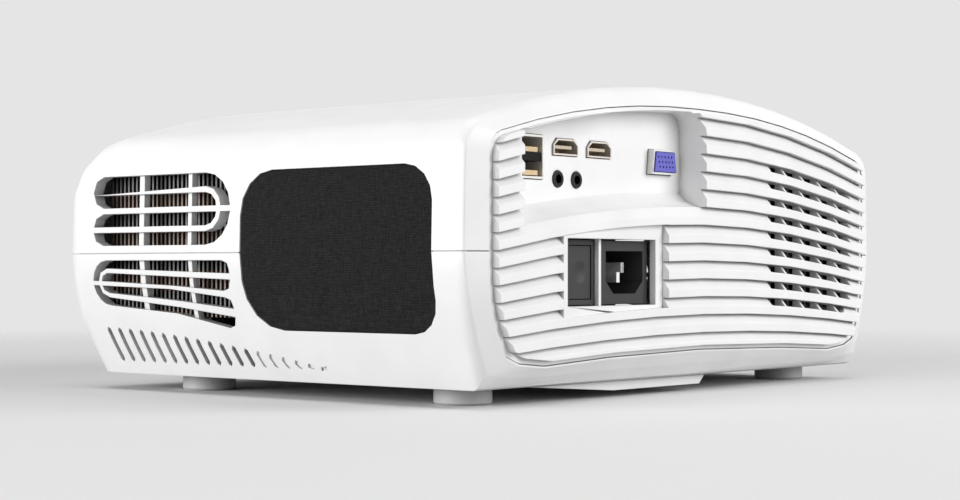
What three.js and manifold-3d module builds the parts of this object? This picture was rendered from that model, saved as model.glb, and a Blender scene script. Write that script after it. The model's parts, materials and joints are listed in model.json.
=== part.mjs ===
// LED projector, seen from behind in daily use: millimetres, +Z up, the lens looks along -Y,
// the sockets are on the +Y face. The origin is the middle of the footprint, on the table.
import * as THREE from 'three';
import { mergeVertices } from 'three/addons/utils/BufferGeometryUtils.js';
import Module from 'manifold-3d';

const wasm = await Module();
wasm.setup();

// Clearances
const gap = 0.3;
const overrun = 2;
const weldDistance = 0.0001;

// The case: an arched roof that runs straight from front to back, between curved side walls
const body = {
  halfWidth: 145,
  baseInset: 12,
  frontY: -114.2,
  softStartY: 103.7,
  rimFaceY: 111.7,
  rimInnerY: 106.2,
  rimLand: 0.6,
  bottomZ: 6.75,
  crestZ: 123.3,
  partingZ: 56.5,
  wall: 2.5,
  roofDrop: 22,
  roofPowerShare: 2.15,
  sidePowerShare: 1.6,
  sideLean: 0.8,
  shoulder: 10,
  cornerRadius: 12.5,
  frontDepth: 31,
  frontDrop: 39.5,
  chinDepth: 9.3,
  chinTopZ: 32.8,
  chinFade: 60,
};
// The case that the sizes below are drawn for; in another case they keep their share of it
const drawnCase = { halfWidth: 145, crestZ: 123.3 };
const widthShare = body.halfWidth / drawnCase.halfWidth;
const heightShare = body.crestZ / drawnCase.crestZ;
const innerShoulderShare = 0.6;
const roofCount = 7;
const shoulderCount = 4;
const upperCount = 2;
const lowerCount = 4;
const frontCount = 5;
// How far along the soft rear edge, then how far the side, the top and the bottom have turned in
const rimShares = [
  [0.25, 0, 0.08, 0.08],
  [0.475, 0.02, 0.2, 0.35],
  [0.6, 0.08, 0.34, 0.49],
  [0.66, 0.2, 0.42, 0.56],
  [1, 1, 1, 1],
];
const bottomShares = [0.94, 0.82, 0.5, 0];

// The inset louver panel at the rear
const panel = {
  sideRoom: 11,
  crestZ: 115,
  drop: 17.2,
  powerShare: 2.2,
  corner: 7,
  sideInset: 9.2,
  lowCornerZ: 18.7,
  cornerRise: 5.2,
  bottomMidZ: 17.5,
  bottomDrop: 4.4,
  plate: 2.5,
  valleyY: 111.2,
  lipY: 114.2,
  flangeWidth: 2.8,
  flange: 2.5,
  pocketInset: 2.5,
};

// The slats: 14 curved lower edges, each a little flatter than the one above
const slat = {
  count: 14,
  firstZ: 111.5,
  pitch: 7.23,
  firstBow: 16.5,
  bowStep: 0.93,
  bowHalf: 130,
  lip: 3.2,
  endInset: 2,
  root: 0.4,
  stepCount: 8,
};

// The sunk tub that holds the signal sockets
const tub = {
  lowX: -1,
  highX: 117,
  floorY: 101.2,
  wall: 2,
  topRise: 2,
  cornerRadius: 8,
  bendZ: 81,
  rampZ: 74.6,
  lineIndex: 5,
  stepCount: 6,
};

// The smooth field round the mains window, and the window itself
const mainsField = {
  lowX: 26,
  highX: 94,
  aboveIndex: 6,
  belowIndex: 11,
  proudShare: 0.92,
};
const mainsWindow = {
  lowX: 31.3,
  highX: 85.3,
  splayX: 91.8,
  lowZ: 36.2,
  highZ: 61.6,
  dividerLowX: 65,
  dividerHighX: 66.6,
  dividerY: 109.7,
};

// The vent cells in front of the rear fan
const cells = {
  lowReach: 34.4,
  highReach: 33.3,
  firstRibReach: 21.5,
  ribPitch: 14.8,
  ribCount: 4,
  rib: 1.7,
  height: 3,
  topInset: 0.3,
  firstIndex: 2,
  lastIndex: 10,
  lowZ: 30.5,
  highZ: 98.5,
  corner: 8,
};

// The side vents, as two windows in each shell with a paperclip of bars across them
const sideVent = {
  wall: 5,
  frontY: -98.5,
  rearY: -6.5,
  topZ: 92,
  bottomZ: 24,
  bar: 2.3,
  ribSetback: 2,
  ribsY: [[-66, -63.1], [-36.6, -34.4]],
};
const upperVent = {
  frontY: -92.8,
  arcY: -24.3,
  arcZ: 73.9,
  arcRadius: 14.2,
  clipRadius: 8.85,
};
const lowerVent = {
  arcY: -84.6,
  arcZ: 44.4,
  arcRadius: 9.3,
  clipRadius: 5.95,
  clipBar: 1.8,
  topZ: 53.6,
  rearY: -11,
  rearSoft: 4.2,
  midRearTopZ: 41.6,
  midRearLowZ: 39.1,
  midBendTopZ: 43.6,
  midBendLowZ: 41.2,
  bendY: -38.8,
  lowRearZ: 27,
  lowBendZ: 31.8,
  topBarRearZ: [46, 48.4],
  lowBarRearZ: [31.2, 34.4],
  lowBarBendZ: [35.1, 37.6],
};

// The row of slanted slots under the vents: the first ones go through, the last are shallow
const slots = {
  count: 19,
  throughCount: 13,
  frontTopY: -89.3,
  topPitch: 6.67,
  frontLowY: -84.9,
  lowPitch: 6.5,
  topZ: 26.2,
  lowZ: 11.7,
  fall: 10.8,
  fallCount: 16,
  fallPowerShare: 1.55,
  width: 2.2,
  shallow: 0.8,
};

// The cloth-covered speaker panel in each side
const speaker = {
  frontY: -4.2,
  rearY: 93.7,
  lowZ: 26.9,
  topZ: 87.7,
  frontTopRadius: 17,
  rearTopRadius: 13,
  frontLowRadius: 19,
  rearLowRadius: 12,
  inset: 0.5,
  thickness: 3,
  y: 45,
  z: 57,
  flangeRadius: 26,
  ringWidth: 3,
  sideRoom: 9,
  flange: 1.5,
  coneRadius: 22,
  coneDepth: 9,
  magnetRadius: 15,
  magnetDepth: 12,
};

// Projection lens, with its two rings under the roof window
const lens = {
  x: -50,
  z: 64,
  barrelRadius: 31,
  barrelWall: 3,
  barrelFrontY: -107,
  barrelRearY: -67,
  headRadius: 34,
  headLength: 3,
  glassRadius: 27.5,
  glassY: -103,
  glassEdge: 4,
  glassCrown: 3,
  mountRadius: 35,
  mountFrontY: -98.4,
  mountRearY: -61.3,
  mountFlange: 42,
  mountFlangeThickness: 3,
  ringRadius: 46,
  ringWidth: 10,
  focusFrontY: -98,
  tiltRingFrontY: -85,
  knurl: 1.4,
  knurlCount: 20,
  bezelRadius: 43,
  bezelBore: 37,
  bezelRearY: -105.5,
  bezelFlare: 2.5,
  sideCount: 24,
  bezelSideCount: 28,
};
const ringWindow = {
  halfWidth: 22,
  frontY: -101,
  rearY: -72,
  corner: 8,
  lowZ: 100,
};

// Light path, from the lamp board on the +X side to the fold mirror behind the lens
const engine = {
  axisY: -32,
  lowX: -88,
  highX: 58,
  narrowFrontY: -61,
  narrowRearY: 6,
  wideFrontY: -88,
  wideRearY: 22,
  bottomZ: 13.9,
  topZ: 104,
  wall: 2,
  lid: 2,
  lampBoreHalf: 30,
  lensBore: 30,
  postRadius: 4,
};
const optics = {
  panelX: 30,
  panelThickness: 4,
  lensThickness: 2,
  spacing: 14,
  halfDepth: 50,
  halfHeight: 34,
  ledge: 3,
};
const mirror = {
  width: 62,
  height: 60,
  thickness: 3,
  backing: 3,
  rod: 2,
  rodRoom: 5,
  post: 5,
};
const mirrorY = engine.axisY + Math.SQRT1_2 * (mirror.thickness + mirror.backing);
const funnel = { smallHalf: 12, wideHalfY: 46, wideHalfZ: 30, wall: 2 };
const ledBoard = { thickness: 2, half: 22, chip: 7, chipDepth: 1.5 };
const sink = {
  depth: 28.7,
  base: 4,
  sideRoom: 9.7,
  frontY: -92,
  rearY: -10,
  lowZ: 31,
  topZ: 93,
  finCount: 33,
  fin: 0.9,
};

// Fans
const sinkFan = {
  sideRoom: 39,
  y: -24,
  lowZ: 11.5,
  half: 25,
  depth: 12,
  corner: 4,
  bore: 23.5,
  hub: 9,
  blade: 1.2,
  bladeTilt: 0.6,
  motor: 2,
  strut: 2,
  strutThickness: 2,
  bladeCount: 5,
};
const rearFan = {
  sideRoom: 25,
  z: 64,
  rearY: 103.4,
  half: 35,
  depth: 20,
  corner: 5,
  bore: 33,
  hub: 13,
  blade: 1.4,
  bladeTilt: 0.6,
  motor: 3,
  strut: 3,
  strutThickness: 2.5,
  bladeCount: 7,
};
const guard = { half: 34, rearY: 105.7, thickness: 2, border: 3, bar: 1.6 };
const cradle = { width: 8, depth: 12, inset: 2 };

// Mains inlet and mains switch
const inlet = {
  lowX: 32.3,
  highX: 62.7,
  lowZ: 36.6,
  highZ: 61.1,
  faceY: 108,
  flange: 3,
  bodyInset: 1.6,
  rearY: 86,
  floorY: 91,
  holeHalfWidth: 12.25,
  holeHalfHeight: 8.25,
  chamfer: 5,
};
const pins = {
  spread: 7,
  offset: 1.9,
  halfWidth: 1,
  halfHeight: 2,
  lineTipY: 102,
  earthTipY: 105,
  fit: 0.15,
  carrier: 3,
};
const mainsSwitch = {
  lowX: 66.9,
  highX: 85,
  lowZ: 36.6,
  highZ: 61.2,
  faceY: 108,
  rearY: 88,
  wall: 2,
  floor: 2,
  capY: 107.6,
  capDepth: 9,
  travel: 3,
  dishRadius: 4.8,
  dishDepth: 0.9,
  springRadius: 3,
};

// Signal sockets: centres and outer sizes on the tub floor
const mainBoard = {
  lowX: -3,
  highX: 112,
  lowZ: 66,
  highZ: 105,
  faceY: 86,
  thickness: 1.6,
  pillar: 2.4,
  pillarPlaces: [[1.5, 101], [4, 84], [36, 84], [109, 80]],
};
const usb = {
  x: 97.6,
  z: 91.85,
  halfWidth: 7,
  halfHeight: 8.15,
  faceY: 102.1,
  wall: 0.8,
  holeHalfHeight: 2.75,
  holeOffset: 4.35,
  depth: 10,
  bandRecess: 0.6,
  tongueHalfWidth: 5.4,
  tongue: 1.8,
  tongueRecess: 1.6,
};
const hdmi = {
  places: [[76.7, 96.2], [55.35, 96.2]],
  halfWidth: 7.7,
  halfHeight: 3.1,
  chamfer: 2.4,
  wall: 0.6,
  faceY: 102,
  depth: 10,
  tongueHalfWidth: 5.2,
  tongue: 1.2,
  tongueRecess: 1.4,
};
const jack = { z: 84.1, avX: 81.1, earX: 69.5, radius: 3.1, bore: 1.8, faceY: 101.8, depth: 12 };
const vga = {
  sideRoom: 15.2,
  z: 93.1,
  wideHalf: 8.6,
  slant: 1.2,
  halfHeight: 4.9,
  wall: 0.7,
  flangeHalfWidth: 11.4,
  flangeHalfHeight: 6,
  flange: 1,
  faceY: 104.2,
  proud: 0.5,
  hole: 0.55,
  holeDepth: 3,
  holePitch: 2.29,
  rowPitch: 1.98,
};

// Keys on the roof
const keypad = {
  y: 40,
  halfWidth: 34,
  halfDepth: 22,
  corner: 5,
  crestDrop: 1.1,
  plate: 2.4,
  frame: 4,
  frameDepth: 5,
  board: 1.6,
  keyRadius: 4,
  keyFlange: 5,
  keyFlangeThickness: 1.8,
  keyProud: 0.5,
  keyTravel: 0.8,
  columns: 3,
  rows: 2,
  columnPitch: 18,
  rowPitch: 16,
};

// Underside
const floorPost = { radius: 3 };
const foot = {
  radius: 11,
  rearX: 112,
  rearY: 80.7,
  frontX: 111,
  frontY: -58.8,
  stud: 3,
  studTopZ: 30,
  bossRadius: 6.5,
  bossTopZ: 28,
  socketZ: 3,
  softEdge: 0.8,
  sideCount: 16,
};
const belly = {
  lowX: -19.5,
  highX: 99,
  slopeX: 45,
  frontY: 20,
  rearY: 101,
  drop: 4,
  plugLowX: 2,
  plugHighX: 68,
  plugFrontY: 40,
  plugRearY: 66,
  plugRise: 2,
};
const supplyBoard = {
  lowX: -40,
  highX: 88,
  frontY: 28,
  rearY: 78,
  lowZ: 14,
  thickness: 1.6,
  postInset: 4,
  coilLowX: 20,
  coilHighX: 50,
  coilLowY: 36,
  coilHighY: 62,
  coilHeight: 20,
  chokeLowX: -24,
  chokeHighX: -4,
  chokeLowY: 40,
  chokeHighY: 62,
  chokeHeight: 16,
  canX: 66,
  canY: 50,
  canRadius: 9,
  canHeight: 18,
};
const screw = {
  ringRoom: 6.5,
  y: -98,
  headRadius: 3.4,
  headDepth: 2,
  shankRadius: 1.5,
  recess: 2.6,
  topZ: 33,
  bossRadius: 5.4,
  bossTopZ: 24,
  pillarRadius: 4.4,
};

// Multiplies the named sizes by the case's share
function follow(sizes, share, names) {
  names.forEach((name) => {
    const size = sizes[name];
    sizes[name] = Array.isArray(size) ? size.map((part) => part * share) : size * share;
  });
}

// Moves the named places by one distance, so that a bought part keeps its size
function moveBy(sizes, distance, names) {
  names.forEach((name) => {
    sizes[name] += distance;
  });
}


// Across the case
follow(slat, widthShare, ['bowHalf']);
follow(tub, widthShare, ['lowX', 'highX']);
follow(lens, widthShare, ['x']);
follow(engine, widthShare, ['lowX', 'highX']);
follow(optics, widthShare, ['panelX']);
follow(mainBoard, widthShare, ['lowX', 'highX']);
follow(usb, widthShare, ['x']);
follow(jack, widthShare, ['avX', 'earX']);
follow(foot, widthShare, ['rearX', 'frontX']);
follow(belly, widthShare, ['lowX', 'highX', 'slopeX', 'plugLowX', 'plugHighX']);
follow(supplyBoard, widthShare, ['lowX', 'highX', 'coilLowX', 'coilHighX', 'chokeLowX', 'chokeHighX', 'canX']);

// Up the case
follow(body, heightShare, ['partingZ', 'chinTopZ', 'frontDrop', 'roofDrop']);
follow(panel, heightShare, ['crestZ', 'drop']);
follow(slat, heightShare, ['firstZ', 'pitch', 'firstBow', 'bowStep', 'lip']);
follow(tub, heightShare, ['bendZ', 'rampZ']);
follow(cells, heightShare, ['height', 'lowZ', 'highZ']);
follow(sideVent, heightShare, ['topZ', 'bottomZ']);
follow(upperVent, heightShare, ['arcZ', 'arcRadius', 'clipRadius']);
follow(lowerVent, heightShare, ['arcZ', 'arcRadius', 'clipRadius', 'clipBar', 'topZ', 'midRearTopZ',
  'midRearLowZ', 'midBendTopZ', 'midBendLowZ', 'lowRearZ', 'lowBendZ', 'topBarRearZ', 'lowBarRearZ',
  'lowBarBendZ']);
follow(slots, heightShare, ['topZ', 'lowZ', 'fall']);
follow(speaker, heightShare, ['lowZ', 'topZ', 'z', 'flangeRadius', 'coneRadius', 'magnetRadius']);
follow(lens, heightShare, ['z', 'barrelRadius', 'headRadius', 'glassRadius', 'mountRadius', 'mountFlange',
  'ringRadius', 'bezelRadius', 'bezelBore']);
follow(ringWindow, heightShare, ['lowZ']);
follow(engine, heightShare, ['bottomZ', 'topZ', 'lensBore']);
follow(optics, heightShare, ['halfHeight']);
follow(mirror, heightShare, ['height']);
follow(funnel, heightShare, ['wideHalfZ']);
follow(ledBoard, heightShare, ['half']);
follow(sink, heightShare, ['lowZ', 'topZ']);
follow(rearFan, heightShare, ['z', 'half', 'bore', 'hub']);
follow(guard, heightShare, ['half']);
follow(mainBoard, heightShare, ['lowZ', 'highZ']);
follow(usb, heightShare, ['z']);
follow(jack, heightShare, ['z']);
follow(vga, heightShare, ['z']);
follow(foot, heightShare, ['studTopZ', 'bossTopZ']);
hdmi.places = hdmi.places.map(([x, z]) => [x * widthShare, z * heightShare]);
const socketDrop = vga.z / heightShare - vga.z;
mainBoard.pillarPlaces = mainBoard.pillarPlaces.map(([x, z]) => [x * widthShare, z - socketDrop]);

// The mains window moves with its inlet and switch, which are bought parts of fixed size
const mainsMoveX = (widthShare - 1) * (mainsWindow.lowX + mainsWindow.highX) / 2;
const mainsMoveZ = (heightShare - 1) * (mainsWindow.lowZ + mainsWindow.highZ) / 2;
moveBy(mainsField, mainsMoveX, ['lowX', 'highX']);
moveBy(mainsWindow, mainsMoveX, ['lowX', 'highX', 'splayX', 'dividerLowX', 'dividerHighX']);
moveBy(inlet, mainsMoveX, ['lowX', 'highX']);
moveBy(mainsSwitch, mainsMoveX, ['lowX', 'highX']);
moveBy(mainsWindow, mainsMoveZ, ['lowZ', 'highZ']);
moveBy(inlet, mainsMoveZ, ['lowZ', 'highZ']);
moveBy(mainsSwitch, mainsMoveZ, ['lowZ', 'highZ']);

// Places that follow from their neighbours
panel.halfWidth = body.halfWidth - panel.sideRoom;
rearFan.x = rearFan.half + rearFan.sideRoom - body.halfWidth;
cells.lowX = rearFan.x - cells.lowReach;
cells.highX = rearFan.x + cells.highReach;
cells.firstRibX = rearFan.x + cells.firstRibReach;
speaker.flangeX = body.halfWidth - speaker.sideRoom;
vga.x = tub.lowX + vga.sideRoom;
engine.stepX = lens.x + lens.ringRadius;
mirror.rodReach = mirror.width / 2 + mirror.rodRoom;
sink.highX = body.halfWidth - sink.sideRoom;
sink.lowX = sink.highX - sink.depth;
sinkFan.x = body.halfWidth - sinkFan.sideRoom;
ledBoard.lowX = sink.lowX - gap - ledBoard.thickness;
funnel.highX = ledBoard.lowX - gap;
screw.x = lens.ringRadius + screw.ringRoom - lens.x;
keypad.topZ = body.crestZ - keypad.crestDrop;

const finish = {
  shell: { color: 0xf4f4f4, roughness: 0.42, metalness: 0 },
  cloth: { color: 0x2f2f30, roughness: 0.95, metalness: 0 },
  black: { color: 0x141415, roughness: 0.5, metalness: 0 },
  darkGrey: { color: 0x484848, roughness: 0.5, metalness: 0 },
  metal: { color: 0xb9bbbd, roughness: 0.3, metalness: 1 },
  fins: { color: 0x3a3330, roughness: 0.45, metalness: 0.8 },
  blue: { color: 0x5f5fd7, roughness: 0.5, metalness: 0 },
  board: { color: 0x1d5a34, roughness: 0.55, metalness: 0 },
  glass: { color: 0x9fb4c8, roughness: 0.05, metalness: 0 },
  mirrorFace: { color: 0xdfe3e6, roughness: 0.05, metalness: 1 },
  lampMetal: { color: 0x9a9da0, roughness: 0.4, metalness: 1 },
};

// Turns a closed geometry into a solid: merges its corners and drops the triangles that close up
function solidOf(geometry) {
  const bare = geometry.clone();
  bare.deleteAttribute('normal');
  bare.deleteAttribute('uv');
  const merged = mergeVertices(bare, weldDistance);
  const corners = merged.attributes.position;
  const index = merged.index.array;
  const kept = [];
  let volume = 0;
  const a = new THREE.Vector3();
  const b = new THREE.Vector3();
  const c = new THREE.Vector3();
  for (let i = 0; i < index.length; i += 3) {
    const [p, q, r] = [index[i], index[i + 1], index[i + 2]];
    if (p !== q && q !== r && r !== p) {
      kept.push([p, q, r]);
      a.fromBufferAttribute(corners, p);
      b.fromBufferAttribute(corners, q);
      c.fromBufferAttribute(corners, r);
      volume += a.dot(b.cross(c));
    }
  }
  const faces = volume < 0 ? kept.map(([p, q, r]) => [p, r, q]) : kept;
  const mesh = new wasm.Mesh({
    numProp: 3,
    vertProperties: Float32Array.from(corners.array),
    triVerts: Uint32Array.from(faces.flat()),
  });
  return new wasm.Manifold(mesh);
}

function geometryOf(solid) {
  const mesh = solid.getMesh();
  const geometry = new THREE.BufferGeometry();
  geometry.setAttribute('position', new THREE.BufferAttribute(mesh.vertProperties, 3));
  geometry.setIndex(new THREE.BufferAttribute(mesh.triVerts, 1));
  geometry.computeVertexNormals();
  return geometry;
}

const joined = (solids) => solids.reduce((sum, next) => sum.add(next));
const mix = (from, to, share) => from + (to - from) * share;

function block([lowX, highX], [lowY, highY], [lowZ, highZ]) {
  const geometry = new THREE.BoxGeometry(highX - lowX, highY - lowY, highZ - lowZ);
  geometry.translate((lowX + highX) / 2, (lowY + highY) / 2, (lowZ + highZ) / 2);
  return solidOf(geometry);
}

// A prism between two planes: its outline is (Y, Z) along x, (X, Z) along y and (X, Y) along z
function prism(shape, axis, low, high, curveSegments = 2) {
  const geometry = new THREE.ExtrudeGeometry(shape, { depth: high - low, bevelEnabled: false, curveSegments });
  if (axis === 'x') {
    geometry.applyMatrix4(new THREE.Matrix4().set(0, 0, 1, 0, 1, 0, 0, 0, 0, 1, 0, 0, 0, 0, 0, 1));
    geometry.translate(low, 0, 0);
  } else if (axis === 'y') {
    geometry.rotateX(Math.PI / 2);
    geometry.translate(0, high, 0);
  } else {
    geometry.translate(0, 0, low);
  }
  return solidOf(geometry);
}

// A turned solid: its profile is [radius, place along the axis], and centre gives the other two places
function turned(profile, axis, [first, second], sideCount) {
  const geometry = new THREE.LatheGeometry(profile.map(([r, along]) => new THREE.Vector2(r, along)), sideCount);
  if (axis === 'z') {
    geometry.rotateX(Math.PI / 2);
    geometry.translate(first, second, 0);
  } else if (axis === 'x') {
    geometry.rotateZ(-Math.PI / 2);
    geometry.translate(0, first, second);
  } else {
    geometry.translate(first, 0, second);
  }
  return solidOf(geometry);
}

const rod = (radius, low, high, axis, centre, sideCount = 16) =>
  turned([[0, low], [radius, low], [radius, high], [0, high]], axis, centre, sideCount);

const ring = (inner, outer, low, high, axis, centre, sideCount = 16) =>
  turned([[inner, low], [outer, low], [outer, high], [inner, high], [inner, low]], axis, centre, sideCount);

// The same solid on the other side of the case
function mirrored(solid) {
  const geometry = geometryOf(solid);
  geometry.scale(-1, 1, 1);
  return solidOf(geometry);
}

function roundedRect([lowU, highU], [lowV, highV], radius) {
  const { lowLeft = radius, lowRight = radius, highRight = radius, highLeft = radius } = radius;
  const shape = new THREE.Shape();
  shape.absarc(lowU + lowLeft, lowV + lowLeft, lowLeft, Math.PI, Math.PI * 1.5);
  shape.absarc(highU - lowRight, lowV + lowRight, lowRight, Math.PI * 1.5, Math.PI * 2);
  shape.absarc(highU - highRight, highV - highRight, highRight, 0, Math.PI / 2);
  shape.absarc(lowU + highLeft, highV - highLeft, highLeft, Math.PI / 2, Math.PI);
  shape.closePath();
  return shape;
}

function polygon(points) {
  const shape = new THREE.Shape();
  shape.setFromPoints(points.map(([u, v]) => new THREE.Vector2(u, v)));
  shape.closePath();
  return shape;
}

// A solid through equal rings of points; ladder caps close the first ring and the last
function loft(rings, capStrip) {
  const count = rings[0].length;
  const index = [];
  for (let r = 0; r < rings.length - 1; r += 1) {
    for (let k = 0; k < count; k += 1) {
      const next = (k + 1) % count;
      const [a, b, c, d] = [r * count + k, r * count + next, (r + 1) * count + next, (r + 1) * count + k];
      index.push(a, b, c, a, c, d);
    }
  }
  const last = (rings.length - 1) * count;
  for (const [p, q, s, t] of capStrip) {
    index.push(q, p, s, s, p, t);
    index.push(last + p, last + q, last + s, last + p, last + s, last + t);
  }
  const geometry = new THREE.BufferGeometry();
  geometry.setAttribute('position', new THREE.Float32BufferAttribute(rings.flat(2), 3));
  geometry.setIndex(index);
  return solidOf(geometry);
}

// Half outline of the case seen from behind: from the crest down the +X side to the middle of the floor
function bodyHalf(inset) {
  const half = body.halfWidth - inset;
  const sideTopX = half - body.sideLean;
  const crest = body.crestZ - inset;
  const bottom = body.bottomZ + inset;
  const shoulder = body.shoulder - inset * innerShoulderShare;
  const roofAt = (x) => crest - body.roofDrop * (x / body.halfWidth) ** body.roofPowerShare;
  const points = [];
  for (let k = 0; k < roofCount; k += 1) {
    const x = (sideTopX - shoulder) * k / (roofCount - 1);
    points.push([x, roofAt(x)]);
  }
  const corner = new THREE.Vector2(sideTopX, roofAt(sideTopX));
  const start = new THREE.Vector2(...points[roofCount - 1]);
  const end = new THREE.Vector2(sideTopX, corner.y - shoulder);
  const bend = new THREE.QuadraticBezierCurve(start, corner, end).getPoints(shoulderCount);
  bend.slice(1).forEach((point) => points.push([point.x, point.y]));
  for (let k = 1; k <= upperCount; k += 1) {
    points.push([mix(sideTopX, half, k / upperCount), mix(end.y, body.partingZ, k / upperCount)]);
  }
  const fullDrop = body.partingZ - body.bottomZ;
  const sideAt = (z) => half - body.baseInset * ((body.partingZ - z) / fullDrop) ** body.sidePowerShare;
  for (let k = 1; k <= lowerCount; k += 1) {
    const z = mix(body.partingZ, bottom, k / lowerCount);
    points.push([sideAt(z), z]);
  }
  bottomShares.forEach((share) => points.push([sideAt(bottom) * share, bottom]));
  return points;
}

// Half outline of the louver panel, point for point like the case's
function panelHalf(grow) {
  const half = panel.halfWidth + grow;
  const roofAt = (x) => panel.crestZ + grow - panel.drop * (x / panel.halfWidth) ** panel.powerShare;
  const points = [];
  for (let k = 0; k < roofCount; k += 1) {
    const x = (half - panel.corner) * k / (roofCount - 1);
    points.push([x, roofAt(x)]);
  }
  const corner = new THREE.Vector2(half, roofAt(half));
  const end = new THREE.Vector2(half, corner.y - panel.corner);
  const bend = new THREE.QuadraticBezierCurve(new THREE.Vector2(...points[roofCount - 1]), corner, end);
  bend.getPoints(shoulderCount).slice(1).forEach((point) => points.push([point.x, point.y]));
  for (let k = 1; k <= upperCount; k += 1) {
    points.push([half, mix(end.y, body.partingZ, k / upperCount)]);
  }
  const lowCornerZ = panel.lowCornerZ - grow;
  const lowCornerX = half - panel.sideInset;
  for (let k = 1; k <= lowerCount; k += 1) {
    const share = k / lowerCount;
    points.push([half - panel.sideInset * share ** 3, mix(body.partingZ, lowCornerZ, share)]);
  }
  const archAt = (x) => panel.bottomMidZ - grow - panel.bottomDrop * (x / lowCornerX) ** 2;
  const turnX = bottomShares[1] * lowCornerX;
  bottomShares.forEach((share) => {
    const x = share * lowCornerX;
    const rise = panel.cornerRise * Math.max(0, (x - turnX) / (lowCornerX - turnX)) ** 2;
    points.push([x, archAt(x) + rise]);
  });
  return points;
}

const wholeOutline = (half) => {
  const left = half.slice(1, -1).reverse().map(([x, z]) => [-x, z]);
  return [...half, ...left];
};

// Ladder caps for outlines that are mirror images about X = 0
function mirrorCaps(halfLength) {
  const count = 2 * (halfLength - 1);
  const strips = [];
  for (let k = 0; k < halfLength - 1; k += 1) {
    strips.push([k, k + 1, (count - k - 1) % count, (count - k) % count]);
  }
  return strips;
}

// One cross-section of the case, drawn in towards the front face and leaned back at the chin
function frontRing(y, inset) {
  const depth = Math.max(0, y - body.frontY - inset);
  const plan = Math.max(0, body.cornerRadius - depth);
  const sideInset = body.cornerRadius - Math.sqrt(body.cornerRadius ** 2 - plan ** 2);
  const turn = Math.max(0, 1 - depth / body.frontDepth);
  const drop = body.frontDrop * (1 - Math.sqrt(1 - turn ** 2));
  const shoulderZ = body.crestZ - body.roofDrop;
  const fade = Math.max(0, 1 - depth / body.chinFade);
  const half = bodyHalf(inset).map(([x, z]) => {
    const upperShare = THREE.MathUtils.clamp((z - body.partingZ) / (shoulderZ - body.partingZ), 0, 1);
    const chinShare = THREE.MathUtils.clamp((body.chinTopZ - z) / (body.chinTopZ - body.bottomZ), 0, 1);
    const narrow = (body.halfWidth - inset - sideInset) / (body.halfWidth - inset);
    return [x * narrow, z - drop * upperShare, y + body.chinDepth * chinShare * fade];
  });
  return wholeRing(half);
}

// Half points [x, z, y] to a full ring of [x, y, z]
function wholeRing(half) {
  const left = half.slice(1, -1).reverse().map(([x, z, y]) => [-x, z, y]);
  return [...half, ...left].map(([x, z, y]) => [x, y, z]);
}

function frontRings(inset) {
  const rings = [];
  for (let k = frontCount; k >= 0; k -= 1) {
    const depth = body.frontDepth * (1 - Math.sin(Math.PI / 2 * k / frontCount));
    rings.push(frontRing(body.frontY + inset + depth, inset));
  }
  rings.push(frontRing(body.frontY + inset + body.chinFade, inset));
  return rings;
}

// The case as one closed block, with the soft edge that turns in to the louver panel
function caseBlock(inset) {
  const outline = bodyHalf(inset);
  const inner = panelHalf(body.rimLand - inset);
  const rings = frontRings(inset);
  rings.push(wholeRing(outline.map(([x, z]) => [x, z, body.softStartY])));
  rimShares.forEach(([alongShare, sideShare, topShare, bottomShare]) => {
    const y = mix(body.softStartY, body.rimFaceY, alongShare);
    rings.push(wholeRing(outline.map(([x, z], k) => {
      const share = z > body.partingZ ? topShare : bottomShare;
      return [mix(x, inner[k][0], sideShare), mix(z, inner[k][1], share), y];
    })));
  });
  return loft(rings, mirrorCaps(outline.length));
}

// The space inside the case's wall, or a block that follows the wall at another depth
function innerBlock(inset) {
  const outline = bodyHalf(inset);
  const rings = frontRings(inset);
  rings.push(wholeRing(outline.map(([x, z]) => [x, z, body.rimInnerY])));
  return loft(rings, mirrorCaps(outline.length));
}

const panelShape = (grow) => polygon(wholeOutline(panelHalf(grow)));

const outer = caseBlock(0);
const cavity = innerBlock(body.wall);
const floorZ = body.bottomZ + body.wall;
const sideReach = [engine.highX, body.halfWidth + overrun];

// The lower edge of slat number index, at x
function slatLine(index, x) {
  const bow = slat.firstBow - slat.bowStep * index;
  return slat.firstZ - slat.pitch * index - bow * (x / slat.bowHalf) ** 2;
}

// A solid along X through one (Y, Z) outline for each place; its caps are fans
function sweptAlongX(places, outlineAt) {
  const rings = places.map((x) => outlineAt(x).map(([y, z]) => [x, y, z]));
  const strips = [];
  for (let k = 1; k < rings[0].length - 1; k += 1) {
    strips.push([0, k, k + 1, 0]);
  }
  return loft(rings, strips);
}

const placesBetween = (low, high, count) =>
  Array.from({ length: count + 1 }, (unused, k) => mix(low, high, k / count));

function slatSolid(index) {
  const rootY = panel.valleyY - slat.root;
  const places = placesBetween(-panel.halfWidth, panel.halfWidth, slat.stepCount);
  return sweptAlongX(places, (x) => {
    const z = slatLine(index, x);
    const above = index > 0 ? slatLine(index - 1, x) : z + slat.pitch;
    return [[rootY, z], [panel.lipY, z], [panel.lipY, z + slat.lip], [panel.valleyY, above], [rootY, above]];
  });
}

function tubPlaces(low, high) {
  const start = Math.min(high, low + tub.cornerRadius);
  const rise = placesBetween(low, start, 4);
  return [...rise, ...placesBetween(start, high, tub.stepCount).slice(1)];
}

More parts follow.
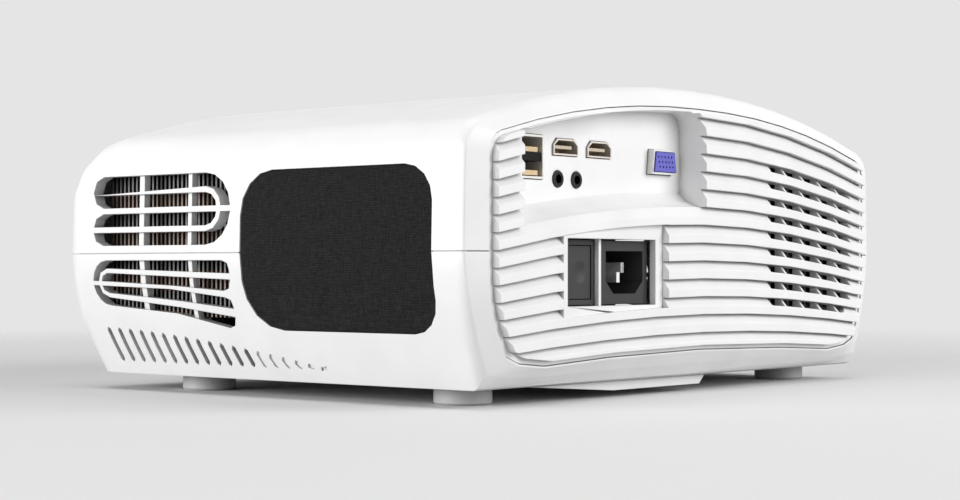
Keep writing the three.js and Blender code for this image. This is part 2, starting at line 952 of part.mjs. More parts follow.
// The tub's hollow (grow 0) or its outside: deep at the top, and ramped out to the slats below
function tubBlock(grow, frontY) {
  const low = tub.lowX - grow;
  const high = tub.highX + grow;
  return sweptAlongX(tubPlaces(low, high), (x) => {
    const into = Math.max(0, tub.cornerRadius - (x - low));
    const round = tub.cornerRadius - Math.sqrt(tub.cornerRadius ** 2 - into ** 2);
    const top = slatLine(0, x) + tub.topRise + grow - round;
    const sag = slatLine(tub.lineIndex, x) - slatLine(tub.lineIndex, 0);
    const bendZ = tub.bendZ + sag - grow;
    const rampZ = tub.rampZ + sag - grow;
    const floorY = tub.floorY - grow;
    return [
      [frontY, top],
      [floorY, top],
      [floorY, bendZ],
      [mix(floorY, panel.lipY, 0.22), mix(bendZ, rampZ, 0.5)],
      [mix(floorY, panel.lipY, 0.62), mix(bendZ, rampZ, 0.85)],
      [panel.lipY, rampZ],
      [frontY, rampZ],
    ];
  });
}

// The smooth field between slats 6 and 11, flush with the valleys at one end and the lips at the other
function mainsFieldSolid() {
  const proudY = mix(panel.valleyY, panel.lipY, mainsField.proudShare);
  const rootY = panel.valleyY - slat.root;
  const places = placesBetween(mainsField.lowX, mainsField.highX, 4);
  return sweptAlongX(places, (x) => {
    const share = (x - mainsField.lowX) / (mainsField.highX - mainsField.lowX);
    const y = mix(panel.valleyY, proudY, share);
    const low = slatLine(mainsField.belowIndex, x) + slat.lip;
    const high = slatLine(mainsField.aboveIndex, x);
    return [[rootY, low], [y + weldDistance, low], [y + weldDistance, high], [rootY, high]];
  });
}

function slatField() {
  const trim = prism(panelShape(-slat.endInset), 'y', panel.valleyY - overrun, panel.lipY + overrun);
  const deep = [panel.valleyY - slat.root - overrun, panel.lipY + overrun];
  const fieldBlock = sweptAlongX(placesBetween(mainsField.lowX, mainsField.highX, 4), (x) => {
    const low = slatLine(mainsField.belowIndex, x) + slat.lip;
    const high = slatLine(mainsField.aboveIndex, x);
    return [[deep[0], low], [deep[1], low], [deep[1], high], [deep[0], high]];
  });
  const slatSolids = Array.from({ length: slat.count }, (unused, index) => slatSolid(index));
  return joined(slatSolids).intersect(trim).subtract(fieldBlock).add(mainsFieldSolid());
}

// Every vent cell: the strips below the slats' lower edges, between upright ribs
function ventCells(lowY, highY) {
  const ribs = Array.from({ length: cells.ribCount }, (unused, k) => cells.firstRibX - cells.ribPitch * k);
  const edges = [cells.highX, ...ribs.flatMap((x) => [x + cells.rib / 2, x - cells.rib / 2]), cells.lowX];
  const cutters = [];
  for (let k = 0; k < edges.length; k += 2) {
    for (let index = cells.firstIndex; index <= cells.lastIndex; index += 1) {
      cutters.push(sweptAlongX([edges[k + 1], edges[k]], (x) => {
        const top = slatLine(index, x) - cells.topInset;
        const low = top - cells.height;
        return [[lowY, low], [highY, low], [highY, top], [lowY, top]];
      }));
    }
  }
  const bounds = roundedRect([cells.lowX, cells.highX], [cells.lowZ, cells.highZ], cells.corner);
  return joined(cutters).intersect(prism(bounds, 'y', lowY - overrun, highY + overrun));
}

// The outline of each socket on the tub floor, grown by a clearance
const usbOutline = (grow) => polygon([
  [usb.x - usb.halfWidth - grow, usb.z - usb.halfHeight - grow],
  [usb.x + usb.halfWidth + grow, usb.z - usb.halfHeight - grow],
  [usb.x + usb.halfWidth + grow, usb.z + usb.halfHeight + grow],
  [usb.x - usb.halfWidth - grow, usb.z + usb.halfHeight + grow],
]);

const hdmiOutline = ([x, z], grow) => polygon([
  [x - hdmi.halfWidth - grow, z - hdmi.halfHeight - grow],
  [x + hdmi.halfWidth + grow, z - hdmi.halfHeight - grow],
  [x + hdmi.halfWidth + grow, z + hdmi.halfHeight - hdmi.chamfer],
  [x + hdmi.halfWidth + grow - hdmi.chamfer, z + hdmi.halfHeight + grow],
  [x - hdmi.halfWidth - grow + hdmi.chamfer, z + hdmi.halfHeight + grow],
  [x - hdmi.halfWidth - grow, z + hdmi.halfHeight - hdmi.chamfer],
]);

const vgaOutline = (grow) => polygon([
  [vga.x - vga.wideHalf - grow, vga.z - vga.halfHeight - grow],
  [vga.x + vga.wideHalf + grow, vga.z - vga.halfHeight - grow],
  [vga.x + vga.wideHalf - vga.slant + grow, vga.z + vga.halfHeight + grow],
  [vga.x - vga.wideHalf + vga.slant - grow, vga.z + vga.halfHeight + grow],
]);

// The wall beside the switch opens outwards, so that a finger gets in
function switchSplay(startY) {
  const { highX, splayX } = mainsWindow;
  const endY = panel.lipY + overrun;
  const flare = polygon([
    [highX - overrun, startY],
    [highX, startY],
    [mix(highX, splayX, (endY - startY) / (panel.lipY - startY)), endY],
    [highX - overrun, endY],
  ]);
  return prism(flare, 'z', mainsWindow.lowZ, mainsWindow.highZ);
}

function rearLouverPanel() {
  const flangeRearY = body.rimInnerY - gap;
  const flangeFrontY = flangeRearY - panel.flange;
  const flange = prism(panelShape(panel.flangeWidth), 'y', flangeFrontY, flangeRearY);
  const plate = prism(panelShape(-gap), 'y', flangeFrontY, panel.valleyY);
  const plateRearY = panel.valleyY - panel.plate;
  const trim = prism(panelShape(-gap), 'y', tub.floorY - tub.wall - overrun, panel.valleyY);
  const pocket = prism(panelShape(-panel.pocketInset - gap), 'y', flangeFrontY - overrun, plateRearY);
  const windowX = [mainsWindow.lowX, mainsWindow.highX];
  const windowZ = [mainsWindow.lowZ, mainsWindow.highZ];
  const dividerX = [mainsWindow.dividerLowX, mainsWindow.dividerHighX];
  const divider = block(dividerX, [flangeRearY, mainsWindow.dividerY], [windowZ[0] - gap, windowZ[1] + gap]);
  const floorBackY = tub.floorY - tub.wall;
  const pillars = mainBoard.pillarPlaces.map((place) =>
    rod(mainBoard.pillar, mainBoard.faceY + gap, floorBackY + gap, 'y', place, 8));
  const through = [mainBoard.faceY, tub.floorY + overrun];
  const openings = [
    prism(usbOutline(gap), 'y', ...through),
    ...hdmi.places.map((place) => prism(hdmiOutline(place, gap), 'y', ...through)),
    prism(vgaOutline(gap), 'y', ...through),
    rod(jack.radius + gap, ...through, 'y', [jack.avX, jack.z], 16),
    rod(jack.radius + gap, ...through, 'y', [jack.earX, jack.z], 16),
  ];
  return plate.add(flange)
    .subtract(pocket)
    .add(slatField())
    .subtract(block(windowX, [flangeFrontY - overrun, panel.lipY + overrun], windowZ))
    .subtract(switchSplay(plateRearY))
    .add(divider)
    .subtract(ventCells(plateRearY - overrun, panel.lipY + overrun))
    .subtract(tubBlock(0, panel.lipY + overrun))
    .add(tubBlock(tub.wall, plateRearY).intersect(trim).subtract(tubBlock(0, panel.lipY + overrun)))
    .add(joined(pillars))
    .subtract(joined(openings));
}

const speakerShape = (grow) => roundedRect(
  [speaker.frontY - grow, speaker.rearY + grow],
  [speaker.lowZ - grow, speaker.topZ + grow],
  {
    lowLeft: speaker.frontLowRadius + grow,
    lowRight: speaker.rearLowRadius + grow,
    highRight: speaker.rearTopRadius + grow,
    highLeft: speaker.frontTopRadius + grow,
  },
);

// One stadium-ended slot of the upper vent, its rear end cut by the large arc
function upperSlot(lowZ, highZ) {
  const radius = (highZ - lowZ) / 2;
  const middleZ = (highZ + lowZ) / 2;
  const lowTurn = Math.asin((lowZ - upperVent.arcZ) / upperVent.arcRadius);
  const highTurn = Math.asin((highZ - upperVent.arcZ) / upperVent.arcRadius);
  const shape = new THREE.Shape();
  shape.absarc(upperVent.frontY + radius, middleZ, radius, Math.PI / 2, Math.PI * 1.5);
  shape.absarc(upperVent.arcY, upperVent.arcZ, upperVent.arcRadius, lowTurn, highTurn);
  shape.closePath();
  return prism(shape, 'x', ...sideReach, 2);
}

// The paperclip bar: two straight legs joined by a half circle at the end that turn names
function clipBar(startY, arcY, arcZ, outerRadius, bar, turn) {
  const inner = outerRadius - bar;
  const shape = new THREE.Shape();
  shape.moveTo(startY, arcZ + turn * outerRadius);
  shape.absarc(arcY, arcZ, outerRadius, turn * Math.PI / 2, -turn * Math.PI / 2, turn > 0);
  shape.lineTo(startY, arcZ - turn * outerRadius);
  shape.lineTo(startY, arcZ - turn * inner);
  shape.absarc(arcY, arcZ, inner, -turn * Math.PI / 2, turn * Math.PI / 2, turn < 0);
  shape.lineTo(startY, arcZ + turn * inner);
  shape.closePath();
  return prism(shape, 'x', sideReach[0] - overrun, sideReach[1] + overrun, 3);
}

const ventRibs = () => joined(sideVent.ribsY.map(([lowY, highY]) =>
  block(sideReach, [lowY, highY], [sideVent.bottomZ, sideVent.topZ])));

function upperVentCut() {
  const halfBar = sideVent.bar / 2;
  const topZ = upperVent.arcZ + upperVent.arcRadius - weldDistance;
  const lowZ = upperVent.arcZ - upperVent.arcRadius + weldDistance;
  const windows = upperSlot(upperVent.arcZ + halfBar, topZ).add(upperSlot(lowZ, upperVent.arcZ - halfBar));
  const startY = upperVent.frontY - overrun;
  const clip = clipBar(startY, upperVent.arcY, upperVent.arcZ, upperVent.clipRadius, sideVent.bar, 1);
  return windows.subtract(clip);
}

// The lower vent fans out downwards to the rear: two windows above and below its middle bar
function lowerVentCut() {
  const vent = lowerVent;
  const barTurn = Math.asin(vent.clipBar / 2 / vent.arcRadius);
  const upper = new THREE.Shape();
  upper.absarc(vent.arcY, vent.arcZ, vent.arcRadius, Math.PI - barTurn, Math.PI / 2, true);
  upper.lineTo(vent.rearY - vent.rearSoft, vent.topZ);
  upper.quadraticCurveTo(vent.rearY - weldDistance, vent.topZ, vent.rearY, vent.topZ - vent.rearSoft);
  upper.lineTo(vent.rearY, vent.midRearTopZ + vent.rearSoft);
  upper.quadraticCurveTo(vent.rearY, vent.midRearTopZ + weldDistance, vent.rearY - vent.rearSoft, vent.midRearTopZ);
  upper.quadraticCurveTo(vent.bendY, vent.midBendTopZ, vent.arcY, vent.arcZ + vent.clipBar / 3);
  upper.closePath();
  const lower = new THREE.Shape();
  lower.absarc(vent.arcY, vent.arcZ, vent.arcRadius, -Math.PI / 2, barTurn - Math.PI, true);
  lower.quadraticCurveTo(vent.bendY, vent.midBendLowZ + vent.clipBar, vent.rearY - vent.rearSoft, vent.midRearLowZ);
  lower.quadraticCurveTo(vent.rearY, vent.midRearLowZ, vent.rearY, vent.midRearLowZ - vent.rearSoft);
  lower.lineTo(vent.rearY, vent.lowRearZ + vent.rearSoft);
  lower.quadraticCurveTo(vent.rearY, vent.lowRearZ, vent.rearY - vent.rearSoft, vent.lowRearZ);
  lower.quadraticCurveTo(vent.bendY, vent.lowBendZ + vent.clipBar, vent.arcY, vent.arcZ - vent.arcRadius);
  lower.closePath();
  const windows = prism(upper, 'x', ...sideReach, 2).add(prism(lower, 'x', ...sideReach, 2));
  return windows.subtract(lowerClip());
}

// The lower paperclip: a half ring at the front, whose two legs part towards the rear
function lowerClip() {
  const vent = lowerVent;
  const inner = vent.clipRadius - vent.clipBar;
  const endY = vent.rearY + overrun;
  const shape = new THREE.Shape();
  shape.moveTo(endY, vent.topBarRearZ[1]);
  shape.lineTo(vent.arcY, vent.arcZ + vent.clipRadius);
  shape.absarc(vent.arcY, vent.arcZ, vent.clipRadius, Math.PI / 2, Math.PI * 1.5);
  shape.quadraticCurveTo(vent.bendY, vent.lowBarBendZ[0], endY, vent.lowBarRearZ[0]);
  shape.lineTo(endY, vent.lowBarRearZ[1]);
  shape.quadraticCurveTo(vent.bendY, vent.lowBarBendZ[1], vent.arcY, vent.arcZ - inner);
  shape.absarc(vent.arcY, vent.arcZ, inner, Math.PI * 1.5, Math.PI / 2, true);
  shape.lineTo(endY, vent.topBarRearZ[0]);
  shape.closePath();
  return prism(shape, 'x', sideReach[0] - overrun, sideReach[1] + overrun, 2);
}

// One slanted slot as a stadium in the (Y, Z) plane
function slantedSlot(index) {
  const fall = slots.fall * (index / slots.fallCount) ** slots.fallPowerShare;
  const top = new THREE.Vector2(slots.frontTopY + slots.topPitch * index, slots.topZ - fall);
  const low = new THREE.Vector2(slots.frontLowY + slots.lowPitch * index, slots.lowZ);
  const radius = slots.width / 2;
  const lean = Math.atan2(top.y - low.y, top.x - low.x);
  const shape = new THREE.Shape();
  shape.absarc(top.x, top.y - radius, radius, lean - Math.PI / 2, lean + Math.PI / 2);
  shape.absarc(low.x, low.y + radius, radius, lean + Math.PI / 2, lean + Math.PI * 1.5);
  shape.closePath();
  return prism(shape, 'x', ...sideReach, 1);
}

function slantedSlots() {
  const all = Array.from({ length: slots.count }, (unused, index) => slantedSlot(index));
  const through = joined(all.slice(0, slots.throughCount));
  const shallow = joined(all.slice(slots.throughCount)).subtract(innerBlock(slots.shallow));
  return through.add(shallow);
}

// The hollow of the case, less the thick frame behind the side vents
function hollow() {
  const reach = block(sideReach, [sideVent.frontY, sideVent.rearY], [sideVent.bottomZ, sideVent.topZ]);
  return cavity.subtract(bothSides(reach).subtract(innerBlock(sideVent.wall)));
}

const bothSides = (solid) => solid.add(mirrored(solid));

const ribsSetBack = () => ventRibs().intersect(innerBlock(sideVent.ribSetback));

// The whole hollow case before it is parted
function hollowCase() {
  const rearHole = prism(panelShape(0), 'y', body.rimInnerY - overrun, body.rimFaceY + overrun);
  const lensHole = rod(lens.bezelRadius + gap, body.frontY - overrun, lens.bezelRearY + overrun, 'y',
    [lens.x, lens.z], lens.bezelSideCount);
  const speakerHole = bothSides(prism(speakerShape(gap), 'x', ...sideReach));
  const vents = upperVentCut().add(lowerVentCut()).subtract(ribsSetBack());
  return outer.subtract(hollow())
    .subtract(rearHole)
    .subtract(lensHole)
    .subtract(speakerHole)
    .subtract(bothSides(vents.add(slantedSlots())));
}

const caseWall = hollowCase();
const wideX = [-body.halfWidth - overrun, body.halfWidth + overrun];
const wideY = [body.frontY - overrun, body.rimFaceY + overrun];

function upperShell() {
  const above = block(wideX, wideY, [body.partingZ + gap / 2, body.crestZ + overrun]);
  const windowX = [lens.x - ringWindow.halfWidth, lens.x + ringWindow.halfWidth];
  const ringShape = roundedRect(windowX, [ringWindow.frontY, ringWindow.rearY], ringWindow.corner);
  const ringHole = prism(ringShape, 'z', ringWindow.lowZ, body.crestZ + overrun, 3);
  const plateX = [-keypad.halfWidth - gap, keypad.halfWidth + gap];
  const plateY = [keypad.y - keypad.halfDepth - gap, keypad.y + keypad.halfDepth + gap];
  const seatZ = keypad.topZ - keypad.plate - gap;
  const pocket = prism(roundedRect(plateX, plateY, keypad.corner), 'z', seatZ, body.crestZ + overrun);
  const well = block(
    [-keypad.halfWidth + keypad.frame, keypad.halfWidth - keypad.frame],
    [keypad.y - keypad.halfDepth + keypad.frame, keypad.y + keypad.halfDepth - keypad.frame],
    [seatZ - keypad.frameDepth - overrun, body.crestZ + overrun],
  );
  const frame = block(
    [plateX[0] - body.wall, plateX[1] + body.wall],
    [plateY[0] - body.wall, plateY[1] + body.wall],
    [seatZ - keypad.frameDepth, body.crestZ],
  ).intersect(innerBlock(body.wall / 2));
  const pillars = joined(screwPlaces.map((place) =>
    rod(screw.pillarRadius, screw.bossTopZ + gap, body.crestZ, 'z', place, 8).subtract(
      rod(screw.shankRadius + gap, screw.bossTopZ, screw.topZ + overrun, 'z', place, 8))));
  return caseWall.intersect(above)
    .subtract(ringHole)
    .add(frame)
    .subtract(pocket)
    .subtract(well)
    .add(pillars.intersect(innerBlock(body.wall / 2)));
}

const screwPlaces = [[screw.x, screw.y], [-screw.x, screw.y]];
const footPlaces = [
  [foot.frontX, foot.frontY],
  [-foot.frontX, foot.frontY],
];

const cradleX = [
  [rearFan.x - rearFan.half + cradle.inset, rearFan.x - rearFan.half + cradle.inset + cradle.width],
  [rearFan.x + rearFan.half - cradle.inset - cradle.width, rearFan.x + rearFan.half - cradle.inset],
];

function lowerShell() {
  const below = block(wideX, wideY, [0, body.partingZ - gap / 2]);
  const post = ([x, y], topZ, radius = floorPost.radius) => rod(radius, floorZ - gap, topZ, 'z', [x, y], 6);
  const enginePosts = [
    [engine.lowX + engine.postRadius, engine.narrowRearY - engine.postRadius],
    [engine.lowX + engine.postRadius, engine.narrowFrontY + engine.postRadius],
    [engine.highX - engine.postRadius, engine.wideRearY - engine.postRadius],
    [engine.highX - engine.postRadius, engine.wideFrontY + engine.postRadius],
  ].map((place) => post(place, engine.bottomZ - gap));
  const fanReach = sinkFan.half - sinkFan.corner;
  const fanPosts = [[-1, -1], [-1, 1], [1, -1], [1, 1]].map(([u, v]) =>
    post([sinkFan.x + u * fanReach, sinkFan.y + v * fanReach], sinkFan.lowZ - gap));
  const boardX = [supplyBoard.lowX + supplyBoard.postInset, supplyBoard.highX - supplyBoard.postInset];
  const boardY = [supplyBoard.frontY + supplyBoard.postInset, supplyBoard.rearY - supplyBoard.postInset];
  const boardPosts = boardX.flatMap((x) => boardY.map((y) => post([x, y], supplyBoard.lowZ - gap)));
  const cradles = cradleX.map((xs) => block(
    xs,
    [rearFan.rearY - rearFan.depth, rearFan.rearY - rearFan.depth + cradle.depth],
    [floorZ - gap, rearFan.z - rearFan.half - gap],
  ));
  const footBosses = footPlaces.map((place) => post(place, foot.bossTopZ, foot.bossRadius));
  const footBores = footPlaces.map((place) =>
    rod(foot.stud + gap, body.bottomZ - overrun, foot.bossTopZ + overrun, 'z', place, 12));
  const rearPlaces = [[foot.rearX, foot.rearY], [-foot.rearX, foot.rearY]];
  const rearBores = rearPlaces.map((place) =>
    rod(foot.stud + gap, body.bottomZ - overrun, floorZ + overrun, 'z', place, 12));
  const screwBosses = screwPlaces.map((place) => post(place, screw.bossTopZ, screw.bossRadius));
  const screwBores = screwPlaces.flatMap((place) => [
    rod(screw.headRadius + gap, body.bottomZ - overrun, body.bottomZ + screw.recess + screw.headDepth, 'z',
      place, 8),
    rod(screw.shankRadius + gap, body.bottomZ, screw.bossTopZ + overrun, 'z', place, 8),
  ]);
  const hatch = block(
    [belly.plugLowX - gap, belly.plugHighX + gap],
    [belly.plugFrontY - gap, belly.plugRearY + gap],
    [body.bottomZ - overrun, floorZ + gap],
  );
  return caseWall.intersect(below)
    .add(joined([...enginePosts, ...fanPosts, ...boardPosts, ...cradles, ...footBosses, ...screwBosses]))
    .subtract(joined([...footBores, ...rearBores, ...screwBores]))
    .subtract(hatch);
}

function speakerGrille() {
  const skin = innerBlock(speaker.inset).subtract(innerBlock(speaker.inset + speaker.thickness));
  const cloth = skin.intersect(prism(speakerShape(0), 'x', ...sideReach));
  const ringX = [speaker.flangeX + gap, body.halfWidth];
  const seat = ring(speaker.flangeRadius - speaker.ringWidth, speaker.flangeRadius, ...ringX, 'x',
    [speaker.y, speaker.z], 12);
  return cloth.add(seat.intersect(innerBlock(speaker.inset + speaker.thickness / 2)));
}

function speakerDriver() {
  const flangeX = speaker.flangeX - speaker.flange;
  const neckX = flangeX - speaker.coneDepth;
  const rearX = neckX - speaker.magnetDepth;
  return turned([
    [0, neckX + speaker.flange],
    [speaker.coneRadius, speaker.flangeX],
    [speaker.flangeRadius, speaker.flangeX],
    [speaker.flangeRadius, flangeX],
    [speaker.coneRadius, flangeX],
    [speaker.magnetRadius, neckX],
    [speaker.magnetRadius, rearX],
    [0, rearX],
  ], 'x', [speaker.y, speaker.z], 12);
}

const lensCentre = [lens.x, lens.z];

function lensBezel() {
  const outerY = body.frontY;
  return turned([
    [lens.bezelBore, lens.bezelRearY],
    [lens.bezelRadius, lens.bezelRearY],
    [lens.bezelRadius, outerY],
    [lens.bezelBore + lens.bezelFlare, outerY],
    [lens.bezelBore, outerY + lens.bezelFlare],
    [lens.bezelBore, lens.bezelRearY],
  ], 'y', lensCentre, lens.bezelSideCount);
}

function lensBarrel() {
  const inner = lens.barrelRadius - lens.barrelWall;
  const seatY = lens.glassY + gap;
  return turned([
    [lens.glassRadius + gap, lens.barrelFrontY],
    [lens.headRadius, lens.barrelFrontY],
    [lens.headRadius, lens.barrelFrontY + lens.headLength],
    [lens.barrelRadius, lens.barrelFrontY + lens.headLength],
    [lens.barrelRadius, lens.barrelRearY],
    [inner - lens.barrelWall, lens.barrelRearY],
    [inner - lens.barrelWall, seatY],
    [lens.glassRadius + gap, seatY],
    [lens.glassRadius + gap, lens.barrelFrontY],
  ], 'y', lensCentre, lens.sideCount);
}

// The front glass: a crowned disc that stops short of the barrel's front edge
function lensGlass() {
  const edgeY = lens.glassY - lens.glassEdge + lens.glassCrown;
  const profile = [[0, lens.glassY], [lens.glassRadius, lens.glassY], [lens.glassRadius, edgeY]];
  for (let k = 1; k <= 2; k += 1) {
    const share = k / 2;
    profile.push([lens.glassRadius * (1 - share), edgeY - lens.glassCrown * (1 - (1 - share) ** 2)]);
  }
  return turned(profile, 'y', lensCentre, lens.sideCount);
}

function lensMount() {
  const bore = lens.barrelRadius + gap;
  const tube = ring(bore, lens.mountRadius, lens.mountFrontY, lens.mountRearY, 'y', lensCentre,
    lens.sideCount);
  const flange = block(
    [lens.x - lens.mountFlange, lens.x + lens.mountFlange],
    [lens.mountRearY - lens.mountFlangeThickness, lens.mountRearY],
    [lens.z - lens.mountFlange, engine.topZ - gap],
  );
  const hole = rod(bore, lens.mountRearY - overrun - lens.mountFlangeThickness, lens.mountRearY + overrun, 'y',
    lensCentre, lens.sideCount);
  return tube.add(flange.subtract(hole));
}

// A hand ring with square knurls, bored to run on the lens mount
function handRing(frontY) {
  const points = [];
  for (let k = 0; k < lens.knurlCount; k += 1) {
    [[0, 0], [0.25, 1], [0.75, 1]].forEach(([turnShare, proudShare]) => {
      const turn = 2 * Math.PI * (k + turnShare) / lens.knurlCount;
      const radius = lens.ringRadius - lens.knurl * (1 - proudShare);
      points.push([lens.x + radius * Math.cos(turn), lens.z + radius * Math.sin(turn)]);
    });
  }
  const bore = new THREE.Path();
  bore.absarc(lens.x, lens.z, lens.mountRadius + gap, 0, Math.PI * 2, true);
  const shape = polygon(points);
  shape.holes.push(bore);
  return prism(shape, 'y', frontY, frontY + lens.ringWidth, lens.sideCount / 2);
}

// The plan of the light engine: narrow behind the lens, wide round the display panel
function enginePlan(inset) {
  const e = engine;
  return polygon([
    [e.lowX + inset, e.narrowFrontY + inset],
    [e.stepX + inset, e.narrowFrontY + inset],
    [e.stepX + inset, e.wideFrontY + inset],
    [e.highX - inset, e.wideFrontY + inset],
    [e.highX - inset, e.wideRearY - inset],
    [e.stepX + inset, e.wideRearY - inset],
    [e.stepX + inset, e.narrowRearY - inset],
    [e.lowX + inset, e.narrowRearY - inset],
  ]);
}

const mirrorTurn = Math.PI / 4;

function rodEnds(reach) {
  return [-1, 1].map((side) => [
    lens.x + side * reach * Math.cos(mirrorTurn),
    mirrorY + side * reach * Math.sin(mirrorTurn),
  ]);
}

function diagonalRod(radius, reach, sideCount) {
  const geometry = new THREE.CylinderGeometry(radius, radius, 2 * reach, sideCount);
  geometry.rotateZ(mirrorTurn - Math.PI / 2);
  geometry.translate(lens.x, mirrorY, lens.z);
  return solidOf(geometry);
}

const opticsPlaces = [
  [optics.panelX - optics.spacing, optics.lensThickness],
  [optics.panelX, optics.panelThickness],
  [optics.panelX + optics.spacing, optics.lensThickness],
];

// Two upright rails for each optical plate, on the engine's side walls
function opticsRails() {
  const rails = [];
  opticsPlaces.forEach(([x, thickness]) => {
    [-1, 1].forEach((face) => {
      const lowX = x + face * (thickness / 2 + gap);
      const xs = face > 0 ? [lowX, lowX + engine.wall] : [lowX - engine.wall, lowX];
      const zs = [engine.bottomZ + gap, engine.topZ - gap];
      const reachY = engine.axisY - optics.halfDepth + optics.ledge;
      const farY = engine.axisY + optics.halfDepth - optics.ledge;
      rails.push(block(xs, [engine.wideFrontY + gap, reachY], zs));
      rails.push(block(xs, [farY, engine.wideRearY - gap], zs));
    });
  });
  return joined(rails);
}

function engineHousing() {
  const solid = prism(enginePlan(0), 'z', engine.bottomZ, engine.topZ);
  const hollow = prism(enginePlan(engine.wall), 'z', engine.bottomZ + engine.wall, engine.topZ + overrun);
  const lampHole = block(
    [engine.highX - engine.wall - overrun, engine.highX + overrun],
    [engine.axisY - funnel.wideHalfY + funnel.wall, engine.axisY + funnel.wideHalfY - funnel.wall],
    [lens.z - funnel.wideHalfZ + funnel.wall, lens.z + funnel.wideHalfZ - funnel.wall],
  );
  const lensHole = rod(engine.lensBore, engine.narrowFrontY - overrun, engine.narrowFrontY + engine.wall + overrun,
    'y', lensCentre, 16);
  const half = mirror.post / 2;
  const posts = rodEnds(mirror.rodReach).map(([x, y]) =>
    block([x - half, x + half], [y - half, y + half], [engine.bottomZ + gap, lens.z + mirror.post]));
  const shelfZ = lens.z - optics.halfHeight - gap;
  const shelf = block(
    [optics.panelX - optics.spacing - optics.ledge, optics.panelX + optics.spacing + optics.ledge],
    [engine.wideFrontY + gap, engine.wideRearY - gap],
    [shelfZ - engine.wall, shelfZ],
  );
  return solid.subtract(hollow)
    .add(opticsRails())
    .add(shelf)
    .subtract(lampHole)
    .subtract(lensHole)
    .add(joined(posts))
    .subtract(diagonalRod(mirror.rod + gap, mirror.rodReach + mirror.post, 8));
}

const engineLid = () => prism(enginePlan(0), 'z', engine.topZ + gap, engine.topZ + gap + engine.lid);

// The mirror, on a cradle with a rod through it that turns in the engine's two posts
function foldMirror() {
  const plate = new THREE.BoxGeometry(mirror.width, mirror.thickness + mirror.backing, mirror.height);
  plate.rotateZ(mirrorTurn);
  plate.translate(lens.x, mirrorY, lens.z);
  return solidOf(plate).add(diagonalRod(mirror.rod, mirror.rodReach + mirror.post / 2, 8));
}

const opticsPlate = (x, thickness) => block(
  [x - thickness / 2, x + thickness / 2],
  [engine.axisY - optics.halfDepth, engine.axisY + optics.halfDepth],
  [lens.z - optics.halfHeight, lens.z + optics.halfHeight],
);

const lcdPanel = () => opticsPlate(...opticsPlaces[1]);

function frustum(grow, lowX, highX) {
  const corners = (x, halfY, halfZ) => [
    [x, engine.axisY - halfY - grow, lens.z - halfZ - grow],
    [x, engine.axisY + halfY + grow, lens.z - halfZ - grow],
    [x, engine.axisY + halfY + grow, lens.z + halfZ + grow],
    [x, engine.axisY - halfY - grow, lens.z + halfZ + grow],
  ];
  const wide = corners(lowX, funnel.wideHalfY - funnel.wall, funnel.wideHalfZ - funnel.wall);
  const small = corners(highX, funnel.smallHalf - funnel.wall, funnel.smallHalf - funnel.wall);
  return loft([wide, small], [[0, 1, 2, 3]]);
}

const lightFunnel = () => frustum(funnel.wall, engine.highX + gap, funnel.highX)
  .subtract(frustum(0, engine.highX + gap - weldDistance, funnel.highX + weldDistance));

function ledBoardSolid() {
  const half = ledBoard.half;
  const lowX = ledBoard.lowX;
  const plate = block([lowX, lowX + ledBoard.thickness], [engine.axisY - half, engine.axisY + half],
    [lens.z - half, lens.z + half]);
  const chip = block([lowX - ledBoard.chipDepth, lowX + gap],
    [engine.axisY - ledBoard.chip, engine.axisY + ledBoard.chip], [lens.z - ledBoard.chip, lens.z + ledBoard.chip]);
  return plate.add(chip);
}

// The heat sink: a base plate with upright fins that reach out to the side vent
function heatSink() {
  const pitch = (sink.rearY - sink.frontY - sink.fin) / (sink.finCount - 1);
  const baseX = sink.lowX + sink.base;
  const points = [[sink.lowX, sink.rearY], [sink.lowX, sink.frontY]];
  for (let k = 0; k < sink.finCount; k += 1) {
    const y = sink.frontY + pitch * k;
    points.push([sink.highX, y], [sink.highX, y + sink.fin]);
    if (k < sink.finCount - 1) {
      points.push([baseX, y + sink.fin], [baseX, y + pitch]);
    }
  }
  return prism(polygon(points), 'z', sink.lowZ, sink.topZ);
}

// A square axial fan frame about the Z axis at the origin: bore, motor mount and four struts
function fanFrame(fan) {
  const shape = roundedRect([-fan.half, fan.half], [-fan.half, fan.half], fan.corner);
  const bore = rod(fan.bore, -overrun, fan.depth + overrun, 'z', [0, 0], 20);
  const motor = rod(fan.hub, 0, fan.motor, 'z', [0, 0], 12);
  const reach = fan.bore + gap;
  const struts = [
    block([-reach, reach], [-fan.strut / 2, fan.strut / 2], [0, fan.strutThickness]),
    block([-fan.strut / 2, fan.strut / 2], [-reach, reach], [0, fan.strutThickness]),
  ];
  return prism(shape, 'z', 0, fan.depth, 1).subtract(bore).add(joined([motor, ...struts]));
}

// The rotor about the Z axis at the origin: a hub cup and pitched blades
function fanRotor(fan) {
  const lowZ = fan.motor + gap;
  const highZ = fan.depth - gap;
  const hub = rod(fan.hub, lowZ, highZ, 'z', [0, 0], 12);
  const tip = fan.bore - 3 * gap;
  const blades = Array.from({ length: fan.bladeCount }, (unused, k) => {
    const height = (highZ - lowZ) * 0.85;
    const geometry = new THREE.BoxGeometry(tip - fan.hub + 2 * gap, fan.blade, height);
    geometry.translate((tip + fan.hub) / 2 - gap, 0, 0);
    geometry.rotateX(fan.bladeTilt);
    geometry.rotateZ(2 * Math.PI * k / fan.bladeCount);
    geometry.translate(0, 0, (lowZ + highZ) / 2);
    return solidOf(geometry);
  });
  return joined(blades).add(hub);
}

// Stands a piece made about the Z axis up along +Y, with its zero at the fan's inner face
function turnedToRear(solid) {
  const geometry = geometryOf(solid);
  geometry.rotateX(-Math.PI / 2);
  return geometry;
}

